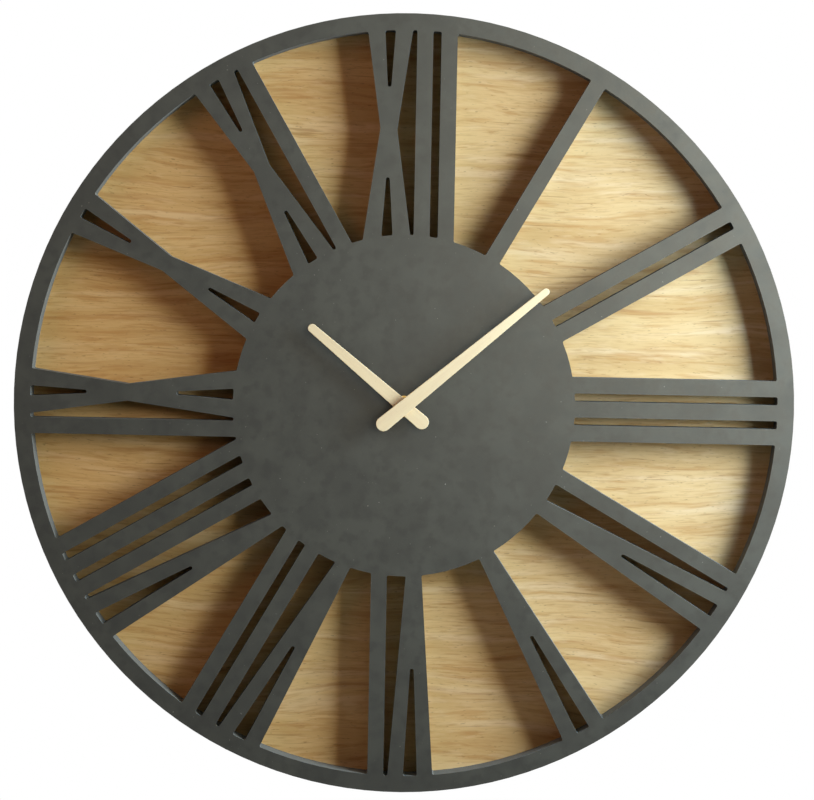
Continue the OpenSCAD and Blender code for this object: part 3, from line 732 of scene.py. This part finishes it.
def shade(piece: Piece, angle: float = 35.0) -> Piece:
    """Shades a piece smoothly, except over edges that turn further.

    Args:
        piece: The piece to shade.
        angle: The sharpest edge in degrees that still looks smooth.

    Returns:
        The same piece.
    """
    take(piece)
    bpy.ops.object.shade_smooth_by_angle(angle=math.radians(angle))
    modify(piece, "WEIGHTED_NORMAL", keep_sharp=True)
    return piece


def turned(
    name: str, profile: Profile, centre: Pair = (0.0, 0.0), steps: int = 72, bored: bool = False
) -> Piece:
    """Turns a piece about an axis along Y, from the wall forwards.

    Args:
        name: The piece's name.
        profile: Radius and depth of each ring. A bored piece lists its whole section.
        centre: X and Z of the axis.
        steps: Vertices in a ring.
        bored: True for a piece with a hole along its axis.

    Returns:
        The turned piece.
    """
    clear()
    radius, depth = profile[0]
    x, z = centre
    fill = "NOTHING" if bored else "NGON"
    bpy.ops.mesh.primitive_circle_add(
        vertices=steps, radius=radius, fill_type=fill, location=(x, -depth, z), rotation=FACING
    )
    piece = settle(fresh(name))
    bpy.ops.object.mode_set(mode="EDIT")
    bpy.ops.mesh.select_mode(type="EDGE" if bored else "FACE")
    bpy.ops.mesh.select_all(action="SELECT")
    for new_radius, new_depth in [*profile[1:], *([profile[0]] if bored else [])]:
        move = {"value": (0.0, depth - new_depth, 0.0)}
        bpy.ops.mesh.extrude_region_move(TRANSFORM_OT_translate=move)
        share = new_radius / radius
        bpy.ops.transform.resize(value=(share, 1.0, share), center_override=(x, -new_depth, z))
        radius, depth = new_radius, new_depth
    bpy.ops.mesh.select_all(action="SELECT")
    bpy.ops.mesh.remove_doubles(threshold=WELD)
    bpy.ops.mesh.normals_make_consistent(inside=False)
    bpy.ops.object.mode_set(mode="OBJECT")
    return piece


def block(name: str, low: Sequence[float], high: Sequence[float]) -> Piece:
    """Adds a block between two corners, ready to be shaped.

    Args:
        name: The piece's name.
        low: Its lowest corner.
        high: Its highest corner.

    Returns:
        The block, settled at the origin.
    """
    clear()
    middle = [(a + b) / 2 for a, b in zip(low, high)]
    sides = [b - a for a, b in zip(low, high)]
    bpy.ops.mesh.primitive_cube_add(size=1.0, location=middle, scale=sides)
    return settle(fresh(name))


def lay_along_x(piece: Piece, depth: float, z: float) -> Piece:
    """Lays a piece that was turned about the Y axis along X instead.

    Args:
        piece: The piece, turned with its depths as places along X.
        depth: Depth of its axis from the wall.
        z: Height of its axis.

    Returns:
        The same piece, settled.
    """
    piece.rotation_euler = (0.0, 0.0, math.pi / 2)
    piece.location = (0.0, -depth, z)
    return settle(piece)


def hand_over(piece: Piece, finish: Finish, *nodes: str, body: Body = Body.CLOCK) -> Piece:
    """Gives a finished piece its material and its body, and hides the CAD nodes that it replaces.

    Args:
        piece: The finished piece.
        finish: Its finish.
        *nodes: The CAD nodes that it replaces.
        body: The CAD body that it rides on.

    Returns:
        The same piece.
    """
    piece.data.materials.clear()
    piece.data.materials.append(finish.material())
    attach(piece, body.value)
    if nodes:
        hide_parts(*nodes)
    count = len(piece.data.polygons)
    LOG.info("%s on %s in %s, %d faces", piece.name, body.value, finish.title, count)
    return piece


def soften(
    node: str, name: str, finish: Finish, width: float,
    rounds: int = 2, angle: float = 35.0, body: Body = Body.CLOCK,
) -> Piece:
    """Hands over a copy with eased edges in a CAD node's place, and returns that copy."""
    return hand_over(ease(copy_of(node, name), width, rounds, angle), finish, node, body=body)


def dress(finish: Finish, *nodes: str) -> None:
    """Gives CAD nodes that stay as they are a better material.

    Args:
        finish: Their finish.
        *nodes: The CAD nodes.
    """
    for node in nodes:
        for slot in bpy.data.objects[node].material_slots:
            slot.material = finish.material()
        LOG.info("%s keeps its solid, in %s", node, finish.title)


def thread(
    root: float, crest: float, start: float, pitch: float, turns: int, land: float
) -> list[Pair]:
    """Lists the rings of a thread, a valley and a flat crest for each turn.

    Args:
        root: Radius in the valley.
        crest: Radius on the crest.
        start: Depth of the first valley.
        pitch: Depth from one turn to the next.
        turns: How many turns.
        land: The crest's share of the pitch.

    Returns:
        Radius and depth of each ring.
    """
    return [
        (radius, start + (turn + share) * pitch)
        for turn in range(turns)
        for radius, share in ((root, 0.0), (crest, 0.5 - land / 2), (crest, 0.5 + land / 2))
    ]


@dataclass(frozen=True)
class Lamp:
    """A soft box that looks at the dial's centre, placed by bearing and by rise off the dial."""

    name: str
    bearing: float
    rise: float
    away: float
    wide: float
    tall: float
    power: float
    colour: str = "#ffffff"
    gloss_only: bool = False

    def place(self, target: Vector) -> None:
        """Hangs the lamp.

        Args:
            target: The place that it looks at.
        """
        data = bpy.data.lights.new(self.name, "AREA")
        data.shape = "RECTANGLE"
        data.size, data.size_y = self.wide, self.tall
        data.energy = self.power
        data.color = srgb(self.colour)[:3]
        lamp = bpy.data.objects.new(self.name, data)
        bpy.context.scene.collection.objects.link(lamp)
        bearing, rise = math.radians(self.bearing), math.radians(self.rise)
        level = math.cos(rise)
        reach = Vector((level * math.sin(bearing), -math.sin(rise), level * math.cos(bearing)))
        lamp.location = target + self.away * reach
        lamp.rotation_euler = (-reach).to_track_quat("-Z", "Y").to_euler()
        lamp.visible_diffuse = not self.gloss_only


@dataclass(frozen=True)
class Studio:
    """The camera of the photograph, its lamps, the pale floor and the white surround.

    The key is two soft boxes that stand in one direction. The near one is cool and fades across
    the dial, and the far one is warm and even, so the light turns warmer towards IX.
    """

    camera_off: Vector = Vector((0.0, -1.714, 0.097))
    camera_tilt: float = -3.0765
    camera_pan: float = -0.0174
    camera_roll: float = 1.0883
    lens_mm: float = 98.75
    sensor_mm: float = 36.0
    clip: Pair = (0.05, 50.0)
    lamps: tuple[Lamp, ...] = (
        Lamp("window_light", 71.5, 20.0, 0.85, 0.39, 0.6, 18.5, "#b1d5ff"),
        Lamp("room_light", 71.5, 22.0, 1.5, 0.69, 1.06, 23.8, "#ffebbe"),
        Lamp("fill_light", -58.0, 31.0, 1.2, 0.9, 0.9, 2.5, "#ffc4b0"),
        Lamp("sheen_card", 63.0, 55.0, 0.75, 0.6, 0.6, 12.9, "#fff6da", gloss_only=True),
        Lamp("back_light", -45.0, -50.0, 2.0, 1.4, 1.4, 30.0),
    )
    ambient: str = "#ffd8cc"
    ambient_level: float = 0.007
    floor_z: float = -0.75
    floor_side: float = 2.3
    floor_tone: str = "#eeeeec"
    floor_glow: float = 0.45

    def build(self) -> None:
        """Sets up everything that isn't part of the clock."""
        bpy.context.scene.view_settings.view_transform = "Standard"
        dial_centre = Vector((0.0, -depths("front_dial")[1], 0.0))
        self.camera(dial_centre)
        for lamp in self.lamps:
            lamp.place(dial_centre)
        self.floor()
        self.surround()

    def camera(self, dial_centre: Vector) -> None:
        """Places the camera where the photograph was taken from.

        Args:
            dial_centre: The middle of the dial's front.
        """
        data = bpy.data.cameras.new("camera")
        data.lens = self.lens_mm
        data.sensor_width = self.sensor_mm
        data.clip_start, data.clip_end = self.clip
        camera = bpy.data.objects.new("camera", data)
        bpy.context.scene.collection.objects.link(camera)
        stand = Matrix.Translation(dial_centre + self.camera_off)
        for degrees, axis in (
            (90.0, "X"), (self.camera_roll, "Z"), (self.camera_pan, "Y"), (self.camera_tilt, "X")
        ):
            stand = stand @ Matrix.Rotation(math.radians(degrees), 4, axis)
        camera.matrix_world = stand
        bpy.context.scene.camera = camera

    def floor(self) -> None:
        """Lays the pale floor, which stays out of the photograph's frame."""
        clear()
        bpy.ops.mesh.primitive_plane_add(size=self.floor_side, location=(0.0, 0.0, self.floor_z))
        floor = settle(fresh("floor"))
        material = bpy.data.materials.new("Pale studio floor")
        material.use_nodes = True
        tree = material.node_tree
        tree.nodes.clear()
        path = add_node(tree, "ShaderNodeLightPath")
        pale = add_node(tree, "ShaderNodeBsdfDiffuse", {"Color": srgb(self.floor_tone)})
        glow = add_node(tree, "ShaderNodeEmission", {"Strength": path.outputs["Is Camera Ray"]})
        mixed = {0: self.floor_glow, 1: pale.outputs["BSDF"], 2: glow.outputs["Emission"]}
        both = add_node(tree, "ShaderNodeMixShader", mixed)
        add_node(tree, "ShaderNodeOutputMaterial", {"Surface": both.outputs["Shader"]})
        floor.data.materials.append(material)

    def surround(self) -> None:
        """Makes the surround white where it is seen, also in gloss, and dim as a light."""
        world = bpy.data.worlds.new("white surround")
        bpy.context.scene.world = world
        world.use_nodes = True
        tree = world.node_tree
        tree.nodes.clear()
        path = add_node(tree, "ShaderNodeLightPath").outputs
        seen = path["Is Camera Ray"]
        for way in ("Is Glossy Ray", "Is Transmission Ray"):
            either = add_node(tree, "ShaderNodeMath", {0: seen, 1: path[way]}, operation="MAXIMUM")
            seen = either.outputs["Value"]
        faint = {"Color": srgb(self.ambient), "Strength": self.ambient_level}
        dim = add_node(tree, "ShaderNodeBackground", faint)
        white = add_node(tree, "ShaderNodeBackground", {"Color": srgb("#ffffff")})
        mixed = {0: seen, 1: dim.outputs["Background"], 2: white.outputs["Background"]}
        both = add_node(tree, "ShaderNodeMixShader", mixed)
        add_node(tree, "ShaderNodeOutputWorld", {"Surface": both.outputs["Shader"]})


@dataclass(frozen=True)
class Face:
    """The thick fretted dial, the oak panel under it and the wall pads.

    A face of the dial whose normal lies within the lean of Y is sealed, and any other is milled.
    """

    arris: float = 0.3 * MM
    pad_arris: float = 0.8 * MM
    wall_lean: float = 0.95

    def build(self) -> None:
        """Eases the cutter's sharp edges, shows the milled walls and dresses the panel."""
        dial = soften("front_dial", "fretted_dial", DIAL_BOARD, self.arris, 1)
        dial.data.materials.append(DIAL_WALL.material())
        for face in dial.data.polygons:
            face.material_index = int(abs(face.normal.y) < self.wall_lean)
        dress(PANEL_OAK, "back_panel")
        soften("wall_pads", "moulded_pads", PAD_RUBBER, self.pad_arris, 3, 20.0)


@dataclass(frozen=True)
class HandShape:
    """One hand's sizes; reach and tail go to the centres of its round ends."""

    node: str
    reach: float
    tail: float
    tip_width: float
    tail_width: float
    bearing: float


@dataclass(frozen=True)
class Hands:
    """The two beech hands and the brass hubs that carry them."""

    minute: HandShape = HandShape(
        "minute_hand", 139.2 * MM, 20.1 * MM, 5.5 * MM, 11.3 * MM, MINUTE_BEARING
    )
    hour: HandShape = HandShape(
        "hour_hand", 92.4 * MM, 17.9 * MM, 6.5 * MM, 11.0 * MM, HOUR_BEARING
    )
    edge: float = 0.3 * MM
    spigot_radius: float = 3.3 * MM
    pipe_radius: float = 2.55 * MM
    shaft_radius: float = 1.7 * MM
    shaft_gap: float = 0.3 * MM
    hour_neck: float = 3.8 * MM
    hour_flange: float = 4.9 * MM
    minute_neck: float = 3.2 * MM
    minute_flange: float = 4.8 * MM
    flange_thick: float = 1.0 * MM
    soft: float = 0.15 * MM

    def build(self) -> None:
        """Makes both hands and both hubs."""
        minute = self.blade("minute_blade", self.minute)
        hand_over(minute, MINUTE_BEECH, "minute_hand", body=Body.MINUTE)
        hour = self.blade("hour_blade", self.hour)
        back, front = depths(self.hour.node)
        drill = [(self.spigot_radius, back - MM), (self.spigot_radius, front + MM)]
        cut(hour, turned("drill", drill))
        hand_over(shade(hour), HOUR_BEECH, "hour_hand", body=Body.HOUR)
        self.hour_hub()
        self.minute_hub()

    def blade(self, name: str, shape: HandShape) -> Piece:
        """Draws a disc out into a tapered blade with two round ends.

        Args:
            name: The piece's name.
            shape: The hand's sizes.

        Returns:
            The blade, turned to its bearing.
        """
        clear()
        back, front = depths(shape.node)
        middle = -(back + front) / 2
        bpy.ops.mesh.primitive_cylinder_add(
            vertices=96, radius=shape.tail_width / 2, depth=front - back,
            location=(0.0, middle, -shape.tail), rotation=FACING,
        )
        blade = settle(fresh(name))
        pick(blade, lambda at: at.z > -shape.tail + 0.01 * MM)
        bpy.ops.transform.translate(value=(0.0, 0.0, shape.tail + shape.reach))
        share, tip = shape.tip_width / shape.tail_width, (0.0, middle, shape.reach)
        bpy.ops.transform.resize(value=(share, 1.0, share), center_override=tip)
        bpy.ops.object.mode_set(mode="OBJECT")
        ease(blade, self.edge, 4)
        blade.rotation_euler = (0.0, math.radians(shape.bearing), 0.0)
        return settle(blade)

    def flanged(self, start: float, seat: float, neck: float, flange: float) -> Profile:
        """Lists a hub's outside, up to the flange that its hand sits on.

        Args:
            start: Depth of the hub's back.
            seat: Depth of the flange's front.
            neck: Radius behind the flange.
            flange: Radius of the flange.

        Returns:
            Radius and depth of each ring.
        """
        soft, step = self.soft, seat - self.flange_thick
        return [
            (neck - soft, start), (neck, start + soft), (neck, step),
            (flange - soft, step), (flange, step + soft), (flange, seat),
        ]

    def hour_hub(self) -> None:
        """Turns the hour hand's flanged hub, a push fit on the pipe."""
        start, (back, front) = depths("hour_hub")[0], depths(self.hour.node)
        bore, spigot, soft = self.pipe_radius, self.spigot_radius, self.soft
        outside = self.flanged(start, back, self.hour_neck, self.hour_flange)
        section = [
            (bore, start), *outside, (spigot, back), (spigot, front - soft),
            (spigot - soft, front), (bore + soft, front), (bore, front - soft),
        ]
        hub = turned("hour_hub_turned", section, bored=True)
        hand_over(shade(hub), TURNED_BRASS, "hour_hub", body=Body.HOUR)

    def minute_hub(self) -> None:
        """Turns the minute hand's cap, glued under the hand and blind at its front."""
        start, back = depths("minute_hub")[0], depths(self.minute.node)[0]
        shaft = self.shaft_radius
        outside = self.flanged(start, back, self.minute_neck, self.minute_flange)
        section = [(shaft, back - self.shaft_gap), (shaft, start), *outside]
        hub = turned("minute_hub_turned", section)
        hand_over(shade(hub), TURNED_BRASS, "minute_hub", body=Body.MINUTE)


@dataclass(frozen=True)
class CentreFixings:
    """The brass washer and nut that clamp the dial, and the threaded bush that they run on."""

    washer_radius: float = 8.2 * MM
    nut_flats: float = 11.0 * MM
    bush_radius: float = 4.0 * MM
    flange_radius: float = 5.4 * MM
    flange_thick: float = 0.5 * MM
    bore: float = 2.6 * MM
    pitch: float = 0.75 * MM
    thread_deep: float = 0.35 * MM
    thread_land: float = 0.2
    thread_gap: float = 0.5 * MM
    lead_wide: float = 0.5 * MM
    lead_deep: float = 0.4 * MM
    soft: float = 0.12 * MM
    nut_arris: float = 0.06 * MM

    def build(self) -> None:
        """Makes the three brass pieces and dresses the rubber washer."""
        self.washer()
        self.nut()
        self.bush()
        dress(PAD_RUBBER, "rubber_washer")

    def washer(self) -> None:
        """Punches the washer, with its edges slightly rolled over."""
        back, front = depths("dial_washer")
        bore, rim, soft = self.bush_radius, self.washer_radius, self.soft
        section = [
            (bore, back), (rim, back), (rim, front - soft),
            (rim - soft, front), (bore + soft, front), (bore, front - soft),
        ]
        ring = turned("brass_washer", section, steps=96, bored=True)
        hand_over(shade(ring), TURNED_BRASS, "dial_washer")

    def nut(self) -> None:
        """Makes the hexagon nut: six flats, both faces chamfered, and its bore."""
        back, front = depths("hex_nut")
        flats = self.nut_flats / 2
        corner = flats / math.cos(math.pi / 6)
        drop = (corner - flats) * math.tan(math.pi / 6)
        clear()
        bpy.ops.mesh.primitive_cylinder_add(
            vertices=6, radius=corner, depth=front - back,
            location=(0.0, -(back + front) / 2, 0.0), rotation=(math.pi / 2, math.pi / 6, 0.0),
        )
        nut = settle(fresh("brass_nut"))
        soft, bore, lead = self.soft, self.bush_radius, self.bush_radius + self.lead_wide
        outside = [
            (flats, back - soft), (flats, back), (corner, back + drop),
            (corner, front - drop), (flats, front), (flats, front + soft),
        ]
        cut(nut, turned("chamfer", outside), keep=True)
        inside = [
            (lead, back - soft), (bore, back + self.lead_deep),
            (bore, front - self.lead_deep), (lead, front + soft),
        ]
        cut(nut, turned("drill", inside))
        ease(nut, self.nut_arris, 2, 25.0)
        hand_over(nut, TURNED_BRASS, "hex_nut")

    def bush(self) -> None:
        """Turns the bush, and cuts its thread up to the front."""
        back, front = depths("centre_bush")
        case_front = depths("rubber_washer")[0]
        flange_front = case_front + self.flange_thick
        crest, bore, soft = self.bush_radius, self.bore, self.soft
        root, start = crest - self.thread_deep, flange_front + self.thread_gap
        turns = int((front - start) / self.pitch)
        section = [
            (bore, back), (crest, back), (crest, case_front),
            (self.flange_radius, case_front), (self.flange_radius, flange_front),
            (root, flange_front),
            *thread(root, crest, start, self.pitch, turns, self.thread_land),
            (root, start + turns * self.pitch), (root - soft, front),
            (bore + soft, front), (bore, front - soft),
        ]
        bush = turned("threaded_bush", section, bored=True)
        hand_over(shade(bush, 25.0), TURNED_BRASS, "centre_bush")


@dataclass(frozen=True)
class Hanger:
    """The pressed keyhole plate and its two screws."""

    head_thick: float = 1.8 * MM
    head_radius: float = 3.0 * MM
    shank_radius: float = 1.5 * MM
    recess_wide: float = 0.8 * MM
    recess_long: float = 3.2 * MM
    recess_deep: float = 1.1 * MM
    recess_taper: float = 0.6
    dome_share: float = 0.55
    plain_shank: float = 1.2 * MM
    runout: float = 0.2 * MM
    pitch: float = 1.1 * MM
    root_share: float = 0.72
    thread_land: float = 0.1
    point_radius: float = 0.15 * MM
    plate_arris: float = 0.35 * MM

    @property
    def screw_at(self) -> Pair:
        """X and Z of the right screw's axis."""
        low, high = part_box("hanger_screws")
        return high.x - self.head_radius, (low.z + high.z) / 2

    def build(self) -> None:
        """Softens the plate and makes both screws from one."""
        soften("hanger_plate", "pressed_plate", ZINC_STEEL, self.plate_arris, 3)
        first = self.screw("pan_screw_right")
        take(first)
        bpy.ops.object.duplicate(linked=False)
        second = fresh("pan_screw_left")
        second.location.x = -2 * self.screw_at[0]
        settle(second)
        for screw in (first, second):
            hand_over(screw, YELLOW_ZINC, "hanger_screws")

    def screw(self, name: str) -> Piece:
        """Makes a pan head screw with a cross recess; its head looks at the wall.

        Args:
            name: The piece's name.

        Returns:
            The screw at the plate's right hole.
        """
        x, z = self.screw_at
        top, tip = depths("hanger_screws")
        seat = top + self.head_thick
        head, shank = self.head_radius, self.shank_radius
        root, bite = shank * self.root_share, seat + self.plain_shank
        turns = int((tip - bite) / self.pitch) - 1
        curve, high = head * self.dome_share, self.head_thick * self.dome_share
        dome = [
            (head - curve * (1 - math.sin(lean)), top + high * (1 - math.cos(lean)))
            for lean in map(math.radians, range(0, 91, 15))
        ]
        profile = [
            *dome, (head, seat), (shank, seat), (shank, bite - self.runout),
            *thread(root, shank, bite, self.pitch, turns, self.thread_land),
            (root, bite + turns * self.pitch), (self.point_radius, tip),
        ]
        screw = turned(name, profile, centre=(x, z), steps=40)
        sides = (self.recess_wide, self.recess_long)
        for wide, tall in (sides, sides[::-1]):
            slot = block(
                "recess",
                (x - wide / 2, -(top + self.recess_deep), z - tall / 2),
                (x + wide / 2, -(top - MM), z + tall / 2),
            )
            pick(slot, lambda at: at.y < -(top + self.recess_deep / 2), faces=True)
            taper = (self.recess_taper, 1.0, self.recess_taper)
            bpy.ops.transform.resize(value=taper, center_override=(x, 0.0, z))
            bpy.ops.object.mode_set(mode="OBJECT")
            cut(screw, slot)
        return shade(screw, 30.0)


@dataclass(frozen=True)
class Movement:
    """The moulded case with its cell, motor, board and wheels."""

    case_arris: float = 0.35 * MM
    cover_arris: float = 0.25 * MM
    knob_arris: float = 0.2 * MM
    pole_radius: float = 2.6 * MM
    pole_high: float = 1.2 * MM
    pole_soft: float = 0.35 * MM
    end_sunk: float = 0.25 * MM
    film: float = 0.12 * MM
    shoulder: float = 0.6 * MM
    mark_rise: float = 0.2 * MM
    mark_long: float = 3.4 * MM
    mark_wide: float = 0.7 * MM
    mark_arris: float = 0.08 * MM
    mark_at: Pair = (21.0 * MM, -8.2 * MM)
    board_thick: float = 1.0 * MM
    board_arris: float = 0.12 * MM
    chip_radius: float = 3.0 * MM
    chip_x: float = 15.6 * MM
    winding_inner: float = 1.9 * MM
    turn: float = 0.42 * MM
    ridge: float = 0.12 * MM

    def build(self) -> None:
        """Makes the pieces that show and dresses the sealed ones."""
        soften("movement_case", "moulded_case", CASE_ABS, self.case_arris)
        soften("movement_cover", "moulded_cover", CASE_ABS, self.cover_arris)
        soften("set_knob", "setting_knob", KNOB_PLASTIC, self.knob_arris, body=Body.MOTION)
        self.cell()
        self.marks()
        self.board()
        self.winding()
        dress(PLATE_PLASTIC, "middle_plate", "coil_bobbin")
        dress(NICKEL_STRIP, "contact_plus", "contact_minus")
        dress(CRYSTAL_CAN, "quartz_crystal")
        dress(CORE_IRON, "coil_core", "stator")
        dress(MAGNET, "rotor_magnet")
        dress(WHEEL_ACETAL, "rotor_pinion", "third_wheel", "minute_wheel")
        dress(WHEEL_ACETAL, "motion_wheel", "hour_wheel")
        dress(TURNED_BRASS, "minute_arbor")

    def cell(self) -> None:
        """Makes the cell: a drawn can with its pole, in a sleeve that turns over both ends."""
        box_low, box_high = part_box("battery")
        radius, film, soft = (box_high.z - box_low.z) / 2, self.film, self.shoulder
        low, high = box_low.x, box_high.x - self.pole_high
        axis = (-(box_low.y + box_high.y) / 2, (box_low.z + box_high.z) / 2)
        wall, sunk, pole = radius - film, low + self.end_sunk, self.pole_radius
        # The shares shape the flat of the minus end and the sleeve's roll over both shoulders.
        can = [
            (radius * 0.55, low), (radius * 0.6, sunk),
            (wall - soft, sunk), (wall, sunk + soft),
            (wall, high - soft), (wall - soft * 0.3, high - soft * 0.3), (wall - soft, high),
            (pole + soft, high - 0.2 * MM), (pole, high + 0.1 * MM),
            (pole, high + self.pole_high - self.pole_soft),
            (pole - self.pole_soft, high + self.pole_high),
        ]
        sleeve = [
            (wall, low + soft), (wall, high - soft),
            (radius - soft * 1.3, high - film), (radius - soft * 1.3, high + film * 0.4),
            (radius - soft * 0.4, high - soft * 0.2), (radius, high - soft),
            (radius, low + soft), (radius - soft * 0.3, low + soft * 0.3),
            (radius - soft, low + 0.02 * MM), (radius - soft, low + film),
        ]
        for name, profile, bored, angle, finish in (
            ("cell_can", can, False, 30.0, CELL_CAN),
            ("cell_sleeve", sleeve, True, 40.0, CELL_SLEEVE),
        ):
            part = lay_along_x(turned(name, profile, bored=bored), *axis)
            hand_over(shade(part, angle), finish, "battery")

    def marks(self) -> None:
        """Raises a plus and a minus on the cover, beside the ends of the cell's bay."""
        x, z = self.mark_at
        half, thin = self.mark_long / 2, self.mark_wide / 2
        back, rise = depths("movement_cover")[0], self.mark_rise

        def bar(name: str, at: float, wide: float, tall: float) -> Piece:
            """Adds one raised bar about a place on the cover."""
            low, high = (at - wide, -back - rise, z - tall), (at + wide, -back + rise, z + tall)
            return block(name, low, high)

        plus, minus = bar("plus_mark", x, half, thin), bar("minus_mark", -x, half, thin)
        join(plus, bar("stroke", x, thin, half))
        for mark in (plus, minus):
            hand_over(ease(mark, self.mark_arris), CASE_ABS)

    def board(self) -> None:
        """Makes the circuit board with its blob of epoxy over the chip."""
        low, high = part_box("circuit_board")
        chip_back, front = depths("circuit_board")
        back = front - self.board_thick
        plate = block("etched_board", (low.x, -front, low.z), (high.x, -back, high.z))
        ease(plate, self.board_arris, 1)
        hand_over(plate, BOARD_RESIST, "circuit_board")
        radius, tall = self.chip_radius, back - chip_back
        dome = [
            (radius * math.sin(lean), chip_back + tall * (1 - math.cos(lean)))
            for lean in map(math.radians, (12, 25, 40, 55, 70, 90))
        ]
        centre = (self.chip_x, (low.z + high.z) / 2)
        drop = turned("chip_drop", dome, centre, steps=48)
        hand_over(shade(drop, 50.0), CHIP_EPOXY, "circuit_board")

    def winding(self) -> None:
        """Winds the coil: ridges of wire laid side by side over the bobbin."""
        low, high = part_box("coil_winding")
        outer, long = (high.z - low.z) / 2, high.x - low.x
        inner, valley = self.winding_inner, outer - self.ridge
        count = int(long / self.turn)
        ridges = [
            (radius, low.x + (turn + share) * long / count)
            for turn in range(count)
            for radius, share in ((valley, 0.0), (outer, 0.5))
        ]
        section = [(inner, low.x), *ridges, (valley, high.x), (inner, high.x)]
        coil = turned("wound_coil", section, steps=40, bored=True)
        coil = lay_along_x(coil, -(low.y + high.y) / 2, (low.z + high.z) / 2)
        hand_over(shade(coil, 60.0), WINDING, "coil_winding")


def main() -> None:
    """Builds the studio and then the clock, layer by layer."""
    logging.basicConfig(level=logging.INFO, format="%(message)s")
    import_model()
    for group in (Studio(), Face(), CentreFixings(), Hands(), Hanger(), Movement()):
        group.build()


if __name__ == "__main__":
    main()
